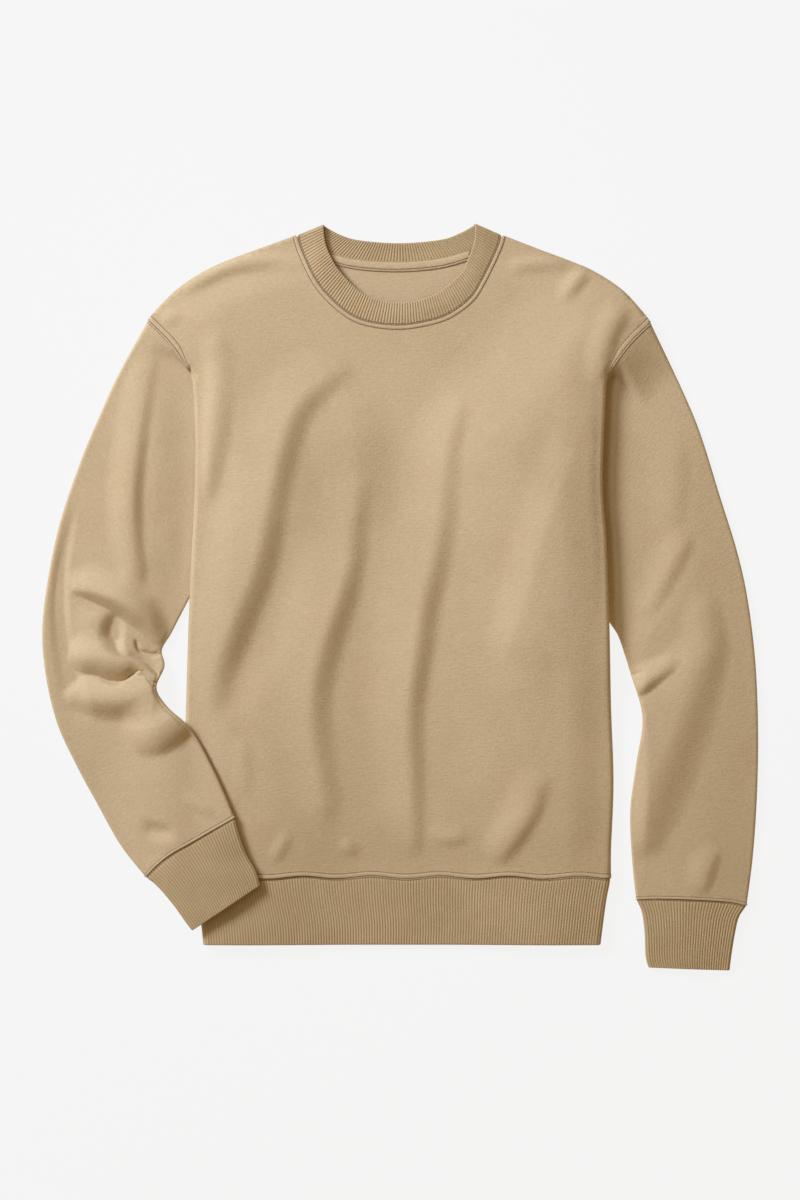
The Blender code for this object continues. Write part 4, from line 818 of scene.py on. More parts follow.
class Sleeve:  # a sleeve or cuff as it lies: stations across it give its two edges
    def __init__(self, name, side, stations, first, last, folds, sizes):
        self.name = name
        self.side = side
        self.stations = np.array(stations, float)
        self.firstLine = smoothLine(first)
        self.lastLine = smoothLine(last) if last else None
        self.folds = folds
        self.sizes = sizes
        middle = (self.stations[:, :2] + self.stations[:, 2:]) / 2
        self.lengths = lengthsOf(middle)
        self.length = self.lengths[-1]
        self.fromArmhole = sizes["fromArmhole"]
        line = pointsAt(self.firstLine, np.linspace(0, 1, 201))
        self.seamShare = np.argmax(line[:, 1] <= side.topY) / 200 if self.fromArmhole else 0.0

    def edges(self, v):
        place = np.interp(v, self.lengths, np.arange(len(self.lengths)))
        return splineAt(self.stations, place)

    def plan(self, w, v):
        row = self.edges(v)
        x = mix(row[..., 0], row[..., 2], w)
        y = mix(row[..., 1], row[..., 3], w)
        starts = self.firstLine, self.stations[0], v
        ends = self.lastLine, self.stations[-1], self.length - v
        for line, end, away in (starts, ends):
            if line is not None:
                near = (1 - ease(0, layout["seamReach"] * self.length, away)) ** 2
                lineX, lineY = pointAt(line, w)
                x = x + (lineX - mix(end[0], end[2], w)) * near
                y = y + (lineY - mix(end[1], end[3], w)) * near
        if self.fromArmhole:  # its start is tucked under the body's edge
            tucked = ease(self.seamShare - 0.012, self.seamShare + 0.02, w) * (1 - ease(0, 12, v))
            x = x - self.side.sign * layout["tuck"] * tucked
        return x, y

    def base(self, x, y):
        if not self.sizes["overBody"]:
            return np.zeros(np.shape(x))
        return onTopZ(x, y) * ease(*forearm["rises"], y)

    def opened(self, x, y, w, v):  # the distance between the middles of the two layers
        sizes = self.sizes
        beside = self.side.sign * (x - self.side.creaseX(np.minimum(y, self.side.topY)))
        reach = mix(pressed["lowReach"], sizes["valley"], ease(*pressed["widens"], y))
        free = ease(sizes["valleyStart"] * reach, reach, beside)
        free = free + ease(0, pressed["above"], y - self.side.topY)
        if sizes["overBody"]:
            free = free + ease(*forearm["frees"], y)
        free = np.clip(free, 0, 1)
        begun = ease(0, pressed["begun"], v) if self.fromArmhole else 1.0
        bell = np.sin(np.pi * np.clip(w, 0, 1)) ** pressed["bell"]
        soft = ease(0, sizes["foldSoftness"], w) * ease(0, sizes["innerSoftness"], 1 - w)
        gap = softFloor(sizes["edgePuff"] + sizes["puff"] * bell + foldHeight(x, y, self.folds) * soft)
        gap = sizes["step"] + gap * free * begun
        if self.fromArmhole:
            rise = self.edgeZ(w) - layout["cloth"] / 2 - clothStep
            steeper = ease(self.seamShare - sizes["fallFrom"], self.seamShare - 0.01, w)
            run = mix(sizes["joinRun"], sizes["fallRun"], steeper)
            gap = gap + np.maximum(rise, 0) * (1 - ease(0, run, v))
        return gap

    def edgeZ(self, w):  # the height of the front's edge at the armhole, which goes round the side's fold
        sign = self.side.sign
        x, y = pointAt(self.firstLine, w)
        start = self.side.foldStart(y)
        inner = sign * np.minimum(sign * x, start)
        high, low = frontZ(inner, y), frontStripZ(inner, y)
        turn = np.clip((sign * x - start) * 2 / (high - low), 0, np.pi / 2)
        z = (high + low) / 2 + (high - low) / 2 * np.cos(turn)
        return mix(z, low - clothStep, ease(self.seamShare - 0.006, self.seamShare + 0.018, w))

    def place(self, u, v):  # u over the top (0 to 1), the inner edge, beneath (2 to 3) and the outer edge
        wall = self.sizes["wall"]
        u = np.mod(u, 4)
        row = self.edges(v)
        width = np.hypot(row[..., 0] - row[..., 2], row[..., 1] - row[..., 3])
        outerR = self.opened(*self.plan(0 * u, v), 0 * u, v) / 2
        innerR = self.opened(*self.plan(0 * u + 1, v), 0 * u + 1, v) / 2
        start = (outerR + wall / 2) / width
        end = 1 - (innerR + wall / 2) / width
        part = np.floor(u)
        turn = (u - part) * np.pi
        startR = self.opened(*self.plan(start, v), start, v) / 2
        endR = self.opened(*self.plan(end, v), end, v) / 2
        choices = [part == 0, part == 1, part == 2]
        w = np.select(choices, [
            mix(start, end, u), end + innerR * np.sin(turn) / width, mix(end, start, u - 2),
        ], start - outerR * np.sin(turn) / width)
        x, y = self.plan(w, v)
        z = np.select(choices, [
            self.opened(x, y, w, v), endR * (1 + np.cos(turn)), 0 * u,
        ], startR * (1 - np.cos(turn)))
        return np.stack([x, y, z + wall / 2 + self.base(x, y)], axis=-1)

    def rows(self, step, fineStep, fineFrom, fineTo):
        low = layout["seamGap"] * 2
        high = self.length - low
        first, last = low + sleeveStartRows[-1], high - sleeveEndRows[-1]
        found = [first]
        while found[-1] < last - 0.5 * step:
            found.append(found[-1] + (fineStep if fineFrom < found[-1] < fineTo else step))
        scale = (last - first) / (found[-1] - first)
        middle = first + (np.array(found) - first) * scale
        begun = low + np.array((0.0,) + sleeveStartRows[:-1])
        ended = high - np.array((0.0,) + sleeveEndRows[:-1])[::-1]
        return np.concatenate([begun, middle, ended])


sleeveStartRows = (0.5, 1.1, 1.9, 2.6, 3.1, 3.7, 4.8, 7.0)  # rows next to the seams, from the seam
sleeveEndRows = (0.5, 1.1, 1.9, 3.1, 3.9, 4.5, 5.1, 6.2, 8.4)


def ringColumns(counts):
    return np.concatenate([part + np.arange(count) / count for part, count in enumerate(counts)])


sleeveSizes = {
    "wall": layout["cloth"], "step": clothStep, "puff": 2.4, "edgePuff": 2.0, "fromArmhole": True,
    "foldSoftness": 0.1, "innerSoftness": 0.045, "joinRun": 36.0, "fallRun": 4.5, "fallFrom": 0.38,
    "overBody": True, "valley": 44.0, "valleyStart": 0.12, "columns": (108, 12, 34, 12),
}
leftSleeveSizes = {  # this one lies beside the body
    **sleeveSizes, "overBody": False, "innerSoftness": 0.02, "joinRun": 55.0, "fallRun": 8.0,
    "fallFrom": 0.14, "valley": 100.0, "valleyStart": 0.3, "columns": (84, 12, 30, 12),
}


def buildSleeve(sleeve, rows):
    columns = ringColumns(sleeve.sizes["columns"])
    start, end = seams["sleeveArm"], seams["cuff"]
    fromStart, fromEnd = rows - rows[0], rows[-1] - rows
    startSide = fromStart < fromEnd
    raised = np.where(startSide, seamRaise(fromStart, start), seamRaise(fromEnd, end))[:, None]
    # beneath, the seam allowance is pressed flat
    raised = raised * np.where((columns > 1.35) & (columns < 3.65), 0.0, 1.0)[None, :]
    middle = sleeve.place(*np.meshgrid(columns, rows))
    ring = np.concatenate([middle, middle[:, :1]], axis=1)
    along = np.cumsum(np.linalg.norm(np.diff(ring, axis=1), axis=2), axis=1)
    off = np.where(startSide, fromStart, fromEnd)[:, None] + 0 * along
    line = np.where(startSide, start["line"], end["line"])[:, None]
    seam = np.stack([along / stitchSizes["pitch"], off - line, off], axis=-1)
    hidden = np.stack([along, off * 0 + 99, off * 0 + 99], axis=-1)
    thickness = np.ones(len(rows))
    attributes = {"seam": (seam, hidden)}
    return tubeShell(sleeve.name, sleeve.place, rows, columns, layout["cloth"], raised, thickness, attributes)


ribSizes = {  # heights: right cuff, left cuff, hem and neckband
    "pitch": 2.85, "heights": (0.6, 0.6, 0.6, 0.75), "roundness": 0.7, "rise": 0.5, "middle": 0.6,
    "rim": 1.6, "rimRows": (1.6, 1.1, 0.6, 0.25, 0.0),
}


def buildRib(name, place, height, rows, lengths, perRib, kind="rib", fade=(0.3, 3.4), unit=1.0):
    # a ring of rib: its parts' lengths give its columns, its rows run from the seam to the rounded rim
    found, ribs, begun = [], [], 0.0
    for part, length in enumerate(lengths):
        number = max(1, round(length / ribSizes["pitch"]))
        share = np.arange(number * perRib) / (number * perRib)
        found.append(part + share)
        ribs.append(begun + share * number)
        begun += number
    columns, ribs = np.concatenate(found), np.concatenate(ribs)
    rimRows = np.array(ribSizes["rimRows"])
    rows = np.concatenate(rows + [height - rimRows])
    thickness = np.ones(len(rows))
    turned = 1 - ((rimRows - ribSizes["rim"]) / ribSizes["rim"]) ** 2
    thickness[-len(rimRows):] = np.sqrt(np.maximum(0.004, turned))
    off = rows[:, None] + 0 * columns
    mask = ease(*fade, off) * thickness[:, None]
    along = ribs * ribSizes["pitch"] / stitchSizes["pitch"] + 0 * off
    seam = np.stack([along, off - seams[kind]["line"], off], axis=-1)
    ribs = ribs + 0 * off
    attributes = {"rib": (ribs, ribs + 0.5), "ribMask": (mask, mask), "seam": (seam, seam + 99)}
    raised = seamRaise(off, seams[kind])
    wall = layout["rib"] - ribSizes["rise"]
    return tubeShell(name, place, rows / unit, columns, wall, raised, thickness, attributes)


cuffSizes = {
    "wall": layout["rib"], "step": ribStep, "puff": 1.8, "edgePuff": 1.8, "fromArmhole": False,
    "foldSoftness": 0.12, "innerSoftness": 0.12, "overBody": True, "valley": 36.0, "valleyStart": 0.12,
    "turn": 9.0, "columnsPerRib": 8, "seamRows": [0.04, 0.5, 1.0, 1.6, 2.1, 2.9], "rows": 12,
}


def buildCuff(cuff):
    sizes = cuff.sizes
    row = cuff.edges(np.array([cuff.length * 0.5]))[0]
    width = math.hypot(row[0] - row[2], row[1] - row[3])
    rows = [sizes["seamRows"], np.linspace(4.2, cuff.length - 2.6, sizes["rows"])]
    lengths = (width, sizes["turn"], width, sizes["turn"])
    return buildRib(cuff.name, cuff.place, cuff.length, rows, lengths, sizes["columnsPerRib"])


# The hem's band goes round the whole lower edge, in with the sides
def hemFold(sign, y):
    edge = halfWidth(sign, y)
    radius = (hemFrontZ(sign * edge, y) - layout["rib"] / 2) / 2
    return edge - radius - layout["rib"] / 2, radius


def hemPlace(u, v):
    # u: over the front (0 to 1), the left side's folds (1 to 6), beneath (6 to 7), the right side's (7 to 12)
    u = np.mod(u, 12)
    y = layout["hemSeamY"] - v
    part = np.floor(u)
    share = u - part
    leftHand = part < 7
    folded = np.where(leftHand, part, 12 - part)
    share = np.where(leftHand, share, 1 - share)
    rightStart, rightR = hemFold(-1, y)
    leftStart, leftR = hemFold(1, y)
    start = np.where(leftHand, leftStart, rightStart)
    outerR = np.where(leftHand, leftR, rightR)
    sign = np.where(leftHand, 1.0, -1.0)
    seamM = start - layout["stripRib"] + outerR
    low = layout["rib"] / 2
    innerLow = low + ribStep
    turn = share * np.pi
    innerR = (hemBackZ(sign * halfWidth(sign, y), y) - innerLow) / 2
    acrossX = mix(-rightStart, leftStart, np.where(part == 0, share, 1 - share))
    choices = [folded == 1, folded == 2, folded == 3, folded == 4]
    m = np.select(choices, [
        start + outerR * np.sin(turn), mix(start, seamM, share), seamM - ribStep / 2 * np.sin(turn),
        mix(seamM, start, share),
    ], start + innerR * np.sin(turn))
    z = np.select(choices, [
        low + outerR * (1 + np.cos(turn)), low + 0 * u, low + ribStep / 2 * (1 - np.cos(turn)),
        innerLow + 0 * u,
    ], innerLow + innerR * (1 - np.cos(turn)))
    across = (part == 0) | (part == 6)
    x = np.where(across, acrossX, sign * m)
    z = np.where(part == 0, hemFrontZ(acrossX, y), np.where(part == 6, hemBackZ(acrossX, y), z))
    return np.stack([x, y + hemShift(x, y), z], axis=-1)


hemSizes = {"width": 412.0, "sideY": -300.0, "columnsPerRib": 6, "rows": 11}


def buildHem():
    height = layout["hemSeamY"] - layout["hemBottomY"]
    outerR = float(hemFold(1, np.array(hemSizes["sideY"]))[1])
    strip, outer, small = layout["stripRib"] - outerR, np.pi * outerR, np.pi * ribStep / 2
    side = [outer, strip, small, strip, small + 1.0]
    lengths = [hemSizes["width"]] + side + [hemSizes["width"]] + side[::-1]
    rows = [cuffSizes["seamRows"], np.linspace(5, height - 3.0, hemSizes["rows"])]
    return buildRib("hemRib", hemPlace, height, rows, lengths, hemSizes["columnsPerRib"])


# The neckband stands round the neckline, folded flat at both shoulders
frontNeckLine, frontRimLine = smoothLine(frontNeck), smoothLine(frontRim)
backNeckLine, backRimLine = smoothLine(backNeck[::-1]), smoothLine(backRim[::-1])


def neckFrontZ(x, y):
    return frontZ(x, y) + ribStep - clothStep + (layout["rib"] - layout["cloth"]) / 2


def neckPlace(u, v):  # u round the front (0 to 1), the left tip, the back (2 to 3) and the right tip
    u = np.mod(u, 4)
    foldR = ribStep / 2
    inset = (foldR + layout["rib"] / 2) / lengthsOf(frontNeckLine)[-1]

    def between(lines, share):  # v of the way from the seam to the rim
        return mix(*(np.array(pointAt(line, share + 0 * u)) for line in lines), v)

    def front(share):
        return between((frontNeckLine, frontRimLine), share)

    def back(share):
        return between((backNeckLine, backRimLine), share)

    part = np.floor(u)
    turn = (u - part) * np.pi
    onFront, onBack, left = part == 0, part == 2, part == 1
    frontXY = front(mix(inset, 1 - inset, np.clip(u, 0, 1)))
    backXY = back(mix(inset, 1 - inset, np.clip(u - 2, 0, 1)))
    edgeXY = np.where(left, front(1 - inset), front(inset))
    fromXY = np.where(left, front(1 - inset), back(1 - inset))
    toXY = np.where(left, back(inset), front(inset))
    out = np.where(left, front(1), front(0)) - edgeXY
    out = out / np.maximum(np.hypot(*out), 1e-6) * foldR * np.sin(turn)
    x, y = np.where(onFront, frontXY, np.where(onBack, backXY, mix(fromXY, toXY, turn / np.pi) + out))
    high, low = neckFrontZ(*edgeXY), layout["rib"] / 2
    tipZ = (high + low) / 2 + (high - low) / 2 * np.where(left, np.cos(turn), -np.cos(turn))
    frontLift = neckFrontZ(*frontXY) + neckSizes["roll"] * np.sin(np.pi * np.clip(v, 0, 1)) ** 2
    z = np.where(onFront, frontLift, np.where(onBack, low + 0 * u, tipZ))
    return np.stack([x, y, z], axis=-1)


neckSizes = {
    "height": 23.0, "roll": 0.8, "turn": 11.0, "columnsPerRib": 8, "rows": 7,
    "seamRows": [0.0, 0.4, 0.8, 1.3, 1.8, 2.6, 4.0],
}


def buildNeckRib():
    sizes, height = neckSizes, neckSizes["height"]
    frontLength = (lengthsOf(frontNeckLine)[-1] + lengthsOf(frontRimLine)[-1]) / 2
    backLength = (lengthsOf(backNeckLine)[-1] + lengthsOf(backRimLine)[-1]) / 2
    lengths = (frontLength, sizes["turn"], backLength, sizes["turn"])
    rows = [sizes["seamRows"], np.linspace(6, height - 3.0, sizes["rows"])]
    perRib = sizes["columnsPerRib"]
    return buildRib("neckRib", neckPlace, height, rows, lengths, perRib, "neckRib", (0.2, 2.4), height)


tapeSizes = {
    "width": 9.4, "from": 0.17, "to": 0.84, "step": 3.0,
    "stitchUp": 2.2, "edge": 0.25, "edgeReach": 1.2, "crown": 0.5, "groove": 0.4, "grooveReach": 0.5,
    "rows": [0, 0.06, 0.12, 0.18, 0.3, 0.45, 0.6, 0.7, 0.735, 0.766, 0.8, 0.84, 0.9, 0.95, 1.0],
}


def tapePlace(x, y):
    z = backZ(x, y) + layout["cloth"] / 2 + layout["seamGap"] + layout["tape"] / 2
    return np.stack([x, y, z], axis=-1)


def buildTape():
    sizes, shares = tapeSizes, np.array(tapeSizes["rows"])
    upper = spaced(smoothLine(backNeck), sizes["step"], sizes["from"], sizes["to"])
    upper = upper - np.array([0, layout["seamGap"]])
    flat = np.vstack([upper - np.array([0, sizes["width"] * share]) for share in shares])
    count = len(upper)
    i, j = np.meshgrid(np.arange(len(shares) - 1), np.arange(count - 1), indexing="ij")
    a = (i * count + j).ravel()
    halves = (a, a + count, a + 1), (a + 1, a + count, a + count + 1)
    triangles = np.vstack([np.column_stack(half) for half in halves])
    down = np.repeat(shares, count)
    edge = np.minimum(down, 1 - down) * sizes["width"]
    up = (1 - down) * sizes["width"]
    raised = sizes["edge"] * ease(0, sizes["edgeReach"], edge) + sizes["crown"] * np.sin(np.pi * down)
    raised = raised - sizes["groove"] * np.exp(-((up - sizes["stitchUp"]) / sizes["grooveReach"]) ** 2)
    along = np.tile(lengthsOf(upper), len(shares)) / stitchSizes["tapePitch"]
    seam = np.column_stack([along, up - sizes["stitchUp"], up])
    skins["neckTape"] = ((1 - shares) * sizes["width"], count)
    return sheetShell("neckTape", flat, triangles, tapePlace, layout["tape"], True, raised, {"seam": seam})


# Node trees
def addNode(tree, kind, *values, **settings):  # values go to the inputs in order, None leaves one as it is
    node = tree.nodes.new(kind)
    for key, value in settings.items():
        setattr(node, key, value)
    enabled = [socket for socket in node.inputs if socket.enabled]
    for socket, value in zip(enabled, values):
        setInput(tree, socket, value)
    return node


def setInput(tree, socket, value):
    if isinstance(value, bpy.types.NodeSocket):
        tree.links.new(value, socket)
    elif value is not None:
        socket.default_value = value


def outputOf(node, index=0):
    return [socket for socket in node.outputs if socket.enabled][index]


def maths(tree, operation, *values):
    return outputOf(addNode(tree, "ShaderNodeMath", *values, operation=operation))


def times(tree, first, *others):
    for other in others:
        first = maths(tree, "MULTIPLY", first, other)
    return first


def plus(tree, first, second):
    return maths(tree, "ADD", first, second)


def vectorMaths(tree, operation, *values):
    return outputOf(addNode(tree, "ShaderNodeVectorMath", *values, operation=operation))


def scaledBy(tree, vector, factor):
    node = addNode(tree, "ShaderNodeVectorMath", vector, operation="SCALE")
    setInput(tree, node.inputs["Scale"], factor)
    return outputOf(node)


def flipped(tree, value):
    return maths(tree, "SUBTRACT", 1.0, value)


def softStep(tree, value, low, high):
    values = value, low, high, 0.0, 1.0
    return outputOf(addNode(tree, "ShaderNodeMapRange", *values, interpolation_type="SMOOTHSTEP"))


def noiseOf(tree, vector, **values):
    return linked(tree, "ShaderNodeTexNoise", Vector=vector, **values).outputs["Fac"]


def linked(tree, kind, settings=None, **values):  # a node with its inputs set by name
    node = addNode(tree, kind, **(settings or {}))
    for key, value in values.items():
        named = [socket for socket in node.inputs if socket.name == key]
        setInput(tree, ([socket for socket in named if socket.enabled] or named)[0], value)
    return node


def newTree(name, kind, inputs, outputs):
    tree = bpy.data.node_groups.new(name, kind)
    for way, sockets in (("INPUT", inputs), ("OUTPUT", outputs)):
        for label, socketKind, value in sockets:
            socket = tree.interface.new_socket(name=label, in_out=way, socket_type="NodeSocket" + socketKind)
            if value is not None:
                socket.default_value = value
    return tree, tree.nodes.new("NodeGroupInput").outputs, tree.nodes.new("NodeGroupOutput").inputs


def newShapeTree(name, inputs):
    shape = ("Geometry", "Geometry", None)
    inputs = [shape] + inputs + [("Material", "Material", None)]
    tree, given, result = newTree(name, "GeometryNodeTree", inputs, [shape])
    tree.is_modifier = True
    return tree, given, result


def finishShape(tree, given, result, geometry):
    whole = linked(tree, "GeometryNodeRealizeInstances", Geometry=geometry).outputs["Geometry"]
    painted = linked(tree, "GeometryNodeSetMaterial", Geometry=whole, Material=given["Material"])
    tree.links.new(painted.outputs["Geometry"], result["Geometry"])
    return tree


def makeRibTree():  # knit ribs raised along the surface, from the rib that each point is at
    tree, given, result = newShapeTree("ribKnit", [("Height", "Float", 0.001), ("Roundness", "Float", 0.6)])
    rib = outputOf(addNode(tree, "GeometryNodeInputNamedAttribute", "rib", data_type="FLOAT"))
    mask = outputOf(addNode(tree, "GeometryNodeInputNamedAttribute", "ribMask", data_type="FLOAT"))
    wave = maths(tree, "ABSOLUTE", maths(tree, "COSINE", times(tree, rib, math.pi)))
    crest = maths(tree, "POWER", wave, given["Roundness"])
    lift = times(tree, maths(tree, "SUBTRACT", crest, ribSizes["middle"]), given["Height"])
    lift = times(tree, lift, mask)
    normal = outputOf(addNode(tree, "GeometryNodeInputNormal"))
    lift = outputOf(addNode(tree, "ShaderNodeCombineXYZ", lift, lift, lift))
    offset = vectorMaths(tree, "MULTIPLY", normal, lift)
    moved = linked(tree, "GeometryNodeSetPosition", Geometry=given["Geometry"], Offset=offset)
    moved = moved.outputs["Geometry"]
    # ribRise keeps where on its rib each point lies; the rib material paints shade into the valleys from it
    plain = times(tree, flipped(tree, mask), ribSizes["middle"])
    shown = plus(tree, times(tree, crest, mask), plain)
    kinds = {"data_type": "FLOAT", "domain": "POINT"}
    values = {"Geometry": moved, "Name": "ribRise", "Value": shown}
    stored = linked(tree, "GeometryNodeStoreNamedAttribute", kinds, **values)
    return finishShape(tree, given, result, stored.outputs["Geometry"])


def makeStitchTree():  # one row of stitches along a path
    sizes = [("Pitch", "Float", 0.003), ("Length", "Float", 0.0021), ("Thickness", "Float", 0.0005)]
    tree, given, result = newShapeTree("stitchRow", sizes)
    curve = linked(tree, "GeometryNodeMeshToCurve", Mesh=given["Geometry"]).outputs["Curve"]
    byLength = {"mode": "LENGTH"}
    spots = linked(tree, "GeometryNodeCurveToPoints", byLength, Curve=curve, Length=given["Pitch"]).outputs
    turned = linked(tree, "FunctionNodeAlignRotationToVector", {"axis": "Z"}, Vector=spots["Tangent"])
    thread = addNode(tree, "GeometryNodeMeshUVSphere", 6, 5, 0.5).outputs["Mesh"]
    thick = given["Thickness"]
    size = outputOf(addNode(tree, "ShaderNodeCombineXYZ", thick, thick, given["Length"]))
    placed = linked(tree, "GeometryNodeInstanceOnPoints", Points=spots["Points"], Instance=thread,
                    Rotation=turned.outputs["Rotation"], Scale=size)
    return finishShape(tree, given, result, placed.outputs["Instances"])


def runTree(piece, tree, values):  # adds the modifier, sets its inputs and keeps the result as a plain mesh
    modifier = piece.modifiers.new(tree.name, "NODES")
    modifier.node_group = tree
    for item in tree.interface.items_tree:
        if item.item_type == "SOCKET" and item.in_out == "INPUT" and item.name in values:
            modifier[item.identifier] = values[item.name]
    bpy.context.view_layer.update()
    graph = bpy.context.evaluated_depsgraph_get()
    shaped = piece.evaluated_get(graph)
    mesh = bpy.data.meshes.new_from_object(shaped, preserve_all_data_layers=True, depsgraph=graph)
    plain = piece.data
    piece.modifiers.clear()
    piece.data = mesh
    bpy.data.meshes.remove(plain)
    mesh.name = piece.name


# Shared effects
effects = {  # shares of the height or tone, and the ranges of noise that become a tone, a hue or a pit; the pit and groove ranges also give painted shade along the seams
    "course": 0.75, "ridge": 0.6, "cross": 0.5, "slubWidth": (1.0, 4.5, 1.0),
    "wideShare": 0.55, "smallShare": 0.45, "smaller": 0.28, "smallShift": (7.3, 7.3, 7.3),
    "hueScale": 1600.0, "hueShift": (3.1, 5.7, 1.9), "toneRange": (0.36, 0.64), "hueRange": (0.4, 0.6),
    "pitRange": (0.05, 0.35), "pitShare": 0.35, "grooveShadeRange": (0.05, 0.7), "rowFrom": 0.1,
}


def makeKnitGroup():  # the face of a jersey: columns of small V stitches. Cloth is the UV map in metres
    sockets = [("Cloth", "Vector", None), ("Wale", "Float", 0.9), ("Slant", "Float", 0.9)]
    tree, given, result = newTree("jerseyGrain", "ShaderNodeTree", sockets, [("Height", "Float", None)])
    parts = addNode(tree, "ShaderNodeSeparateXYZ", scaledBy(tree, given["Cloth"], 1000.0)).outputs
    leg = maths(tree, "PINGPONG", maths(tree, "DIVIDE", parts[0], given["Wale"]), 0.5)
    slant = times(tree, leg, given["Slant"])
    slanted = plus(tree, maths(tree, "DIVIDE", parts[1], effects["course"]), slant)
    course = times(tree, maths(tree, "SINE", times(tree, slanted, 2 * math.pi)), 0.5)
    ridge = maths(tree, "SINE", times(tree, leg, 2 * math.pi))
    ridge = times(tree, ridge, effects["ridge"])
    height = plus(tree, ridge, times(tree, course, effects["cross"]))
    tree.links.new(height, result["Height"])
    return tree


def makeNapGroup():  # the fuzz of brushed yarn, and faint streaks across the cloth from uneven yarn
    sockets = [("Place", "Vector", None), ("Cloth", "Vector", None)]
    sockets += [("Size", "Float", 1.6), ("Streak", "Float", 8.0)]
    found = [("Height", "Float", None), ("Spots", "Float", None)]
    tree, given, result = newTree("nap", "ShaderNodeTree", sockets, found)
    fine = scaledBy(tree, given["Place"], maths(tree, "DIVIDE", 1000.0, given["Size"]))
    tree.links.new(noiseOf(tree, fine, Scale=1.0, Detail=3.0, Roughness=0.65), result["Height"])
    along = scaledBy(tree, given["Cloth"], maths(tree, "DIVIDE", 1000.0, given["Streak"]))
    slub = vectorMaths(tree, "MULTIPLY", along, effects["slubWidth"])
    tree.links.new(noiseOf(tree, slub, Scale=1.0, Detail=3.0, Roughness=0.55), result["Spots"])
    return tree


def makeDyeGroup():  # garment dye, patchy over the cloth
    sockets = [("Place", "Vector", None), ("Patch", "Float", 70.0)]
    found = [("Tone", "Float", None), ("Hue", "Float", None)]
    tree, given, result = newTree("garmentDye", "ShaderNodeTree", sockets, found)

    def patches(finer, shift, **values):
        moved = vectorMaths(tree, "ADD", given["Place"], shift)
        return noiseOf(tree, moved, Scale=maths(tree, "DIVIDE", finer, given["Patch"]), **values)

    wide = patches(1000.0, (0.0, 0.0, 0.0), Detail=3.0)
    wide = times(tree, wide, effects["wideShare"])
    small = patches(1000.0 / effects["smaller"], effects["smallShift"], Detail=3.0)
    small = times(tree, small, effects["smallShare"])
    tone = softStep(tree, plus(tree, wide, small), *effects["toneRange"])
    tree.links.new(tone, result["Tone"])
    hue = softStep(tree, patches(effects["hueScale"], effects["hueShift"]), *effects["hueRange"])
    tree.links.new(hue, result["Hue"])
    return tree


def makeHoleShadeGroup():  # the pits that stitches pull into the cloth: a mask for their dents and for painted shade along the stitch row and in the pits, and painted shade in the seam's groove. Seam is along, off the row, off the seam
    sockets = [("Seam", "Vector", None), ("Width", "Float", 0.75)]
    found = [("PitsAndShade", "Float", None), ("GrooveShade", "Float", None)]
    tree, given, result = newTree("needleHolesAndShade", "ShaderNodeTree", sockets, found)
    along, off, fromSeam = addNode(tree, "ShaderNodeSeparateXYZ", given["Seam"]).outputs
    near = flipped(tree, softStep(tree, maths(tree, "ABSOLUTE", off), effects["rowFrom"], given["Width"]))
    spot = flipped(tree, softStep(tree, maths(tree, "PINGPONG", along, 0.5), *effects["pitRange"]))
    dashed = maths(tree, "MULTIPLY_ADD", spot, effects["pitShare"], 1.0 - effects["pitShare"])
    tree.links.new(times(tree, near, dashed), result["PitsAndShade"])
    # painted shade in the groove between the pieces, darkest right at the seam
    tree.links.new(flipped(tree, softStep(tree, fromSeam, *effects["grooveShadeRange"])), result["GrooveShade"])
    return tree


def useGroup(tree, group, **values):
    node = tree.nodes.new("ShaderNodeGroup")
    node.node_tree = group
    for key, value in values.items():
        setInput(tree, node.inputs[key], value)
    return node.outputs


def mixColours(tree, share, first, second, blend="MIX"):
    return outputOf(addNode(tree, "ShaderNodeMix", share, first, second, data_type="RGBA", blend_type=blend))


cotton = {  # what the three cotton finishes share
    "roughness": 0.86, "roughnessVaries": 0.12, "specular": 0.18,
    "sheenRoughness": 0.45, "sheenTint": (1.0, 0.9, 0.74, 1.0), "valleyShadeRange": (0.15, 0.8),
}


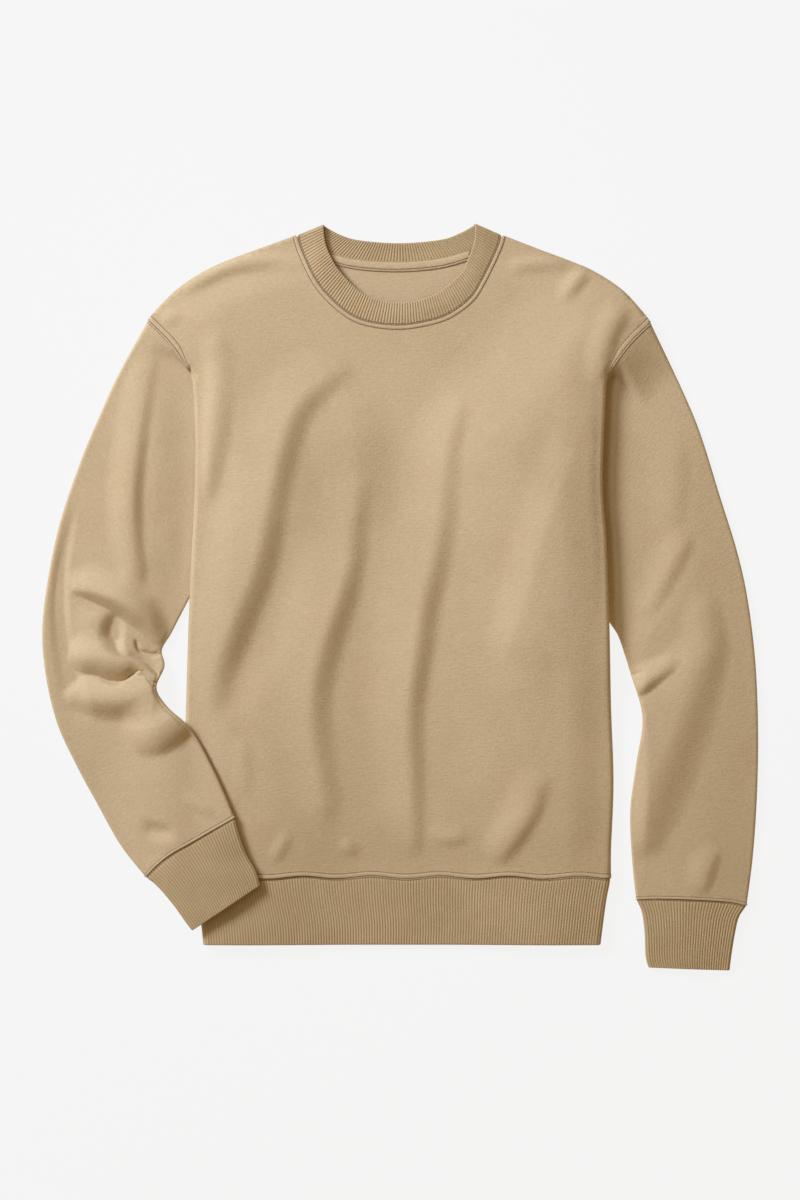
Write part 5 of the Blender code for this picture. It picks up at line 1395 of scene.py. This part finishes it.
def clothMaterial(name, groups, look):
    material = bpy.data.materials.new(name)
    material.use_nodes = True
    tree = material.node_tree
    tree.nodes.clear()

    def weighed(value, weight, rest=1.0):  # rest + value * weight
        return maths(tree, "MULTIPLY_ADD", value, weight, rest)

    place = addNode(tree, "ShaderNodeTexCoord").outputs["Object"]
    cloth = addNode(tree, "ShaderNodeUVMap", uv_map="cloth").outputs["UV"]
    seam = addNode(tree, "ShaderNodeAttribute", attribute_name="seam").outputs["Vector"]
    dye = useGroup(tree, groups["dye"], Place=place, Patch=look["patch"])
    knit = useGroup(tree, groups["knit"], Cloth=cloth, Wale=look["wale"])
    nap = useGroup(tree, groups["nap"], Place=place, Cloth=cloth, Size=look["napSize"], Streak=look["streak"])
    holesAndShade = useGroup(tree, groups["holesAndShade"], Seam=seam)
    tone = mixColours(tree, dye["Tone"], look["dark"], look["light"])
    tint = mixColours(tree, dye["Hue"], look["warm"], look["cool"])
    colour = mixColours(tree, 1.0, tone, tint, "MULTIPLY")
    fuzz = weighed(nap["Height"], look["fuzz"], 1.0 - 0.5 * look["fuzz"])
    speck = times(tree, weighed(nap["Spots"], look["spots"], 1.0 - 0.5 * look["spots"]), fuzz)
    grain = weighed(knit["Height"], look["grain"], 1.0 - 0.3 * look["grain"])
    # painted shade: the colour is darkened along each stitch row, more in its pits, and in the groove next to
    # the seam
    pitShade, groove = weighed(holesAndShade["PitsAndShade"], -look["pitShade"]), weighed(holesAndShade["GrooveShade"], -look["groove"])
    sewn = times(tree, pitShade, groove)
    shade = times(tree, speck, grain, sewn)
    height = times(tree, knit["Height"], look["grainHeight"])
    height = weighed(nap["Height"], look["napHeight"], height)
    height = plus(tree, height, times(tree, nap["Spots"], look["spotHeight"]))
    height = maths(tree, "SUBTRACT", height, times(tree, holesAndShade["PitsAndShade"], look["pitDepth"]))
    # painted shade in the rib valleys: the colour darkens where ribRise is low
    if look["valley"]:
        rise = addNode(tree, "ShaderNodeAttribute", attribute_name="ribRise").outputs["Fac"]
        valleyShade = flipped(tree, softStep(tree, rise, *cotton["valleyShadeRange"]))
        shade = times(tree, shade, weighed(valleyShade, -look["valley"]))
    grey = outputOf(addNode(tree, "ShaderNodeCombineColor", shade, shade, shade))
    bump = linked(tree, "ShaderNodeBump", Strength=1.0, Distance=mm, Height=height)
    shader = linked(tree, "ShaderNodeBsdfPrincipled", **{
        "Base Color": mixColours(tree, 1.0, colour, grey, "MULTIPLY"), "Normal": bump.outputs["Normal"],
        "Roughness": weighed(nap["Spots"], cotton["roughnessVaries"], cotton["roughness"]),
        "Specular IOR Level": cotton["specular"], "Sheen Weight": look["sheen"],
        "Sheen Roughness": cotton["sheenRoughness"], "Sheen Tint": cotton["sheenTint"],
    })
    linked(tree, "ShaderNodeOutputMaterial", Surface=shader.outputs["BSDF"])
    return material


# pitShade, groove and valley darken the colour as painted shade: along stitch rows and in their pits, in the
# seam's groove, and in the rib valleys
looks = {
    "fleece": {
        "dark": (0.57, 0.417, 0.252, 1), "light": (0.595, 0.443, 0.274, 1),
        "warm": (1.0, 0.99, 0.98, 1), "cool": (0.99, 1.0, 0.99, 1), "patch": 120.0,
        "wale": 0.9, "napSize": 2.4, "fuzz": 0.36, "streak": 8.0, "spots": 0.18, "grain": 0.05,
        "pitShade": 0.72, "groove": 0.6, "pitDepth": 0.4, "sheen": 0.08, "valley": 0.0,
        "napHeight": 0.34, "grainHeight": 0.07, "spotHeight": 0.32,
    },
    "rib": {
        "dark": (0.51, 0.362, 0.205, 1), "light": (0.546, 0.394, 0.229, 1),
        "warm": (1.0, 0.985, 0.97, 1), "cool": (0.985, 1.0, 0.985, 1), "patch": 60.0,
        "wale": 1.4, "napSize": 2.0, "fuzz": 0.16, "streak": 5.0, "spots": 0.08, "grain": 0.03,
        "pitShade": 0.65, "groove": 0.6, "pitDepth": 0.4, "sheen": 0.08, "valley": 0.24,
        "napHeight": 0.12, "grainHeight": 0.06, "spotHeight": 0.08,
    },
    "thread": {
        "dark": (0.47, 0.34, 0.185, 1), "light": (0.54, 0.4, 0.225, 1),
        "warm": (1.0, 1.0, 1.0, 1), "cool": (1.0, 1.0, 1.0, 1), "patch": 30.0,
        "wale": 0.5, "napSize": 0.6, "fuzz": 0.1, "streak": 3.0, "spots": 0.1, "grain": 0.0,
        "pitShade": 0.0, "groove": 0.0, "pitDepth": 0.0, "sheen": 0.15, "valley": 0.0,
        "napHeight": 0.05, "grainHeight": 0.0, "spotHeight": 0.0,
    },
}

groups = {"knit": makeKnitGroup(), "nap": makeNapGroup(), "dye": makeDyeGroup(), "holesAndShade": makeHoleShadeGroup()}
materials = {name: clothMaterial(name, groups, look) for name, look in looks.items()}
print("materials ready")

# The pieces
front = Panel("frontPanel", frontZ, frontStripZ, layout["outerFold"], frontNeck, 0.0)
back = Panel("backPanel", backZ, backStripZ, layout["innerFold"], backNeck, 2.4)
frontPiece = front.build(step=4.6, seamStep=3.0, outerUp=True)
backPiece = back.build(step=9.0, seamStep=4.5, outerUp=False)
print("body panels:", len(frontPiece.data.polygons), len(backPiece.data.polygons))

rightSleeve = Sleeve(
    "rightSleeve", rightSide, sleeveRightStations, armholeRight, cuffSeamRight, sleeveRightFolds, sleeveSizes)
leftSleeve = Sleeve(
    "leftSleeve", leftSide, sleeveLeftStations, armholeLeft, cuffSeamLeft, sleeveLeftFolds, leftSleeveSizes)
sleevePieces = [
    buildSleeve(rightSleeve, rightSleeve.rows(step=4.8, fineStep=1.3, fineFrom=222.0, fineTo=392.0)),
    buildSleeve(leftSleeve, leftSleeve.rows(step=3.6, fineStep=2.2, fineFrom=230.0, fineTo=340.0)),
]
print("sleeves:", [len(piece.data.polygons) for piece in sleevePieces])

rightCuff = Sleeve("rightCuff", rightSide, cuffRightStations, cuffSeamRight, None, [], cuffSizes)
leftCuffSizes = {**cuffSizes, "overBody": False}
leftCuff = Sleeve("leftCuff", leftSide, cuffLeftStations, cuffSeamLeft, None, [], leftCuffSizes)
ribTree = makeRibTree()
ribPieces = [buildCuff(rightCuff), buildCuff(leftCuff), buildHem(), buildNeckRib()]
for piece, height in zip(ribPieces, ribSizes["heights"]):
    values = {"Height": height * mm, "Roundness": ribSizes["roundness"], "Material": materials["rib"]}
    runTree(piece, ribTree, values)
tapePiece = buildTape()
print("ribs:", [len(piece.data.polygons) for piece in ribPieces])

pieces = [frontPiece, backPiece] + sleevePieces + ribPieces + [tapePiece]
cuts = {  # metres: width and length as cut and the cut's area, then how it is held and what it lies on
    "front": (0.568, 0.643, 0.325, "folded", ["backPanel", "rightSleeve", "leftSleeve"]),
    "back": (0.552, 0.643, 0.325, "folded", ["floor"]),
    "sleeve_right": (0.362, 0.53, 0.141, "laid", ["floor", "frontPanel", "hemRib"]),
    "sleeve_left": (0.362, 0.54, 0.148, "laid", ["floor"]),
    "cuff_right": (0.222, 0.068, 0.0149, "laid", ["hemRib"]),
    "cuff_left": (0.224, 0.066, 0.0146, "laid", ["floor"]),
    "hem_rib": (0.99, 0.0676, 0.0667, "folded", ["floor"]),
    "neck_rib": (0.505, 0.023, 0.0114, "laid", ["backPanel", "frontPanel"]),
    "neck_tape": (0.146, 0.0115, 0.00138, "laid", ["backPanel"]),
}
for piece, (node, (width, length, area, held, under)) in zip(pieces, cuts.items()):
    if piece not in ribPieces:
        piece.data.materials.append(materials["fleece"])
    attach(piece, "root")
    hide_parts(node)


# Stitches, one row after another, each on its own piece of cloth
def rowOnSkin(shell, distance, lift):  # the path along the row nearest to this distance from the start
    rows, columns = skins[shell.name]
    found = []
    for field in ("co", "normal"):
        values = np.empty(len(shell.data.vertices) * 3)
        shell.data.vertices.foreach_get(field, values)
        first = int(np.argmin(np.abs(rows - distance))) * columns
        found.append(values.reshape(-1, 3)[first:first + columns])
    path = found[0] / mm + found[1] * lift
    return np.vstack([path, path[:1]])


def rowOnPanel(panel, key):  # the path along a seam of a body panel
    kind, lines = seams[seamKinds[key]], panel.seamLines()
    fine = spaced(lines[key], 2.0)
    outline = panel.outline(lines, 6.0)
    share = np.ones(len(fine))
    if key in armSides:
        lengths = lengthsOf(fine)
        share, end = panel.narrowing(armSides[key], lengths)
        fine, share = fine[lengths < end - 1], share[lengths < end - 1]
    found = []
    for off in (kind["line"], -kind["line"]):  # the side of the seam that is on the panel
        moved = offsetLine(fine, off * share)
        kept = wellInside(moved, outline, 0.6)
        if kept.sum() > len(found):
            found = moved[kept]
    x, y = found[:, 0], found[:, 1]
    step = 0.05
    acrossX = panel.place(x + step, y) - panel.place(x - step, y)
    acrossY = panel.place(x, y + step) - panel.place(x, y - step)
    up = np.cross(acrossX, acrossY)
    up /= np.maximum(np.linalg.norm(up, axis=1), 1e-12)[:, None]
    lift = layout["cloth"] / 2 + seamRaise(kind["line"], kind) + stitchSizes["lift"]
    return panel.place(x, y) + up * lift + np.array(layout["shift"])


stitchTree = makeStitchTree()


def sewRows(name, paths):
    points = np.vstack(paths)
    points[:, 2] = np.maximum(points[:, 2], 0.5 * stitchSizes["thickness"] + 0.1)
    ends = np.cumsum([len(path) for path in paths])
    edges = [(i, i + 1) for i in range(len(points) - 1) if i + 1 not in ends]
    mesh = bpy.data.meshes.new(name)
    mesh.from_pydata((points * mm).tolist(), edges, [])
    piece = addObject(name, mesh)
    sizes = {key: stitchSizes[key.lower()] * mm for key in ("Pitch", "Length", "Thickness")}
    runTree(piece, stitchTree, {**sizes, "Material": materials["thread"]})
    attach(piece, "root")


sewRows("frontStitches", [rowOnPanel(front, key) for key in seamKinds])
for shell in sleevePieces:
    places = seams["sleeveArm"]["line"], skins[shell.name][0][-1] - seams["cuff"]["line"]
    sewRows(shell.name + "Stitches", [rowOnSkin(shell, place, stitchSizes["lift"]) for place in places])
ribLines = [seams["rib"]["line"]] * 3 + [seams["neckRib"]["line"] / neckSizes["height"]]
for shell, line in zip(ribPieces, ribLines):
    sewRows(shell.name + "Stitches", [rowOnSkin(shell, line, stitchSizes["ribLift"])])
sewRows("neckTapeStitches", [rowOnSkin(tapePiece, tapeSizes["stitchUp"], stitchSizes["tapeLift"])[:-1]])
print("stitches sewn")

# Floor, light and camera
studio = {
    "floorSize": 4.0, "floorZ": -0.0004, "floor": (0.06, 0.06, 0.06, 1), "glow": 0.864,
    "fillColour": (1.0, 0.77, 0.41, 1), "fill": 0.35, "wallColour": (0.88, 0.88, 0.88, 1),
    "lampColour": (0.9, 1.023, 1.215),
    "softboxSize": 1.6, "softboxPower": 236.0, "softboxFrom": (-0.78, 0.62, 0.62), "softboxDistance": 5.0,
    "spotPower": 18.5, "spotCone": 40.0, "spotSize": 0.2,
    "spotAt": (-0.6, 0.55, 1.45), "spotTo": (-0.02, 0.15, 0.0),
    "cameraAt": (-0.0002, -0.003, 3.008), "lens": 90.0, "cameraReach": 20.0,
}


def makeFloor():
    mesh = bpy.data.meshes.new("floor")
    corners = [(x * studio["floorSize"], y * studio["floorSize"], studio["floorZ"])
               for x, y in ((-1, -1), (1, -1), (1, 1), (-1, 1))]
    mesh.from_pydata(corners, [], [(0, 1, 2, 3)])
    material = bpy.data.materials.new("paleFloor")
    material.use_nodes = True
    values = {
        "Base Color": studio["floor"], "Roughness": 1.0, "Specular IOR Level": 0.0,
        "Emission Color": (1.0, 1.0, 1.0, 1.0), "Emission Strength": studio["glow"],
    }
    for key, value in values.items():
        material.node_tree.nodes["Principled BSDF"].inputs[key].default_value = value
    mesh.materials.append(material)
    addObject("floor", mesh)


def makeWorld():  # a warm glow all round, and a pale wall where a low view sees past the floor
    world = bpy.data.worlds.new("studio")
    world.use_nodes = True
    tree = world.node_tree
    tree.nodes.clear()
    glow = linked(tree, "ShaderNodeBackground", Color=studio["fillColour"], Strength=studio["fill"])
    wall = linked(tree, "ShaderNodeBackground", Color=studio["wallColour"])
    seen = addNode(tree, "ShaderNodeLightPath").outputs["Is Camera Ray"]
    both = addNode(tree, "ShaderNodeMixShader", seen, outputOf(glow), outputOf(wall))
    linked(tree, "ShaderNodeOutputWorld", Surface=outputOf(both))
    bpy.context.scene.world = world


def aimed(direction):
    return Vector(direction).to_track_quat("Z", "Y").to_euler()


def makeLights():
    softbox = bpy.data.lights.new("softbox", "AREA")
    softbox.shape = "DISK"
    softbox.size = studio["softboxSize"]
    softbox.energy = studio["softboxPower"]
    lamp = addObject("softbox", softbox)
    towards = Vector(studio["softboxFrom"]).normalized()
    lamp.location = towards * studio["softboxDistance"]
    lamp.rotation_euler = aimed(towards)
    spot = bpy.data.lights.new("overhead", "SPOT")
    spot.energy = studio["spotPower"]
    spot.shadow_soft_size = studio["spotSize"]
    spot.spot_size = math.radians(studio["spotCone"])
    spot.spot_blend = 1.0
    overhead = addObject("overhead", spot)
    overhead.location = studio["spotAt"]
    overhead.rotation_euler = aimed(overhead.location - Vector(studio["spotTo"]))
    softbox.color = spot.color = studio["lampColour"]


def makeCamera():  # straight above
    camera = bpy.data.cameras.new("camera")
    camera.lens = studio["lens"]
    camera.clip_end = studio["cameraReach"]
    view = addObject("camera", camera)
    view.location = studio["cameraAt"]
    bpy.context.scene.camera = view
    bpy.context.scene.view_settings.view_transform = "Standard"


makeFloor()
makeWorld()
makeLights()
makeCamera()
print("studio lit")
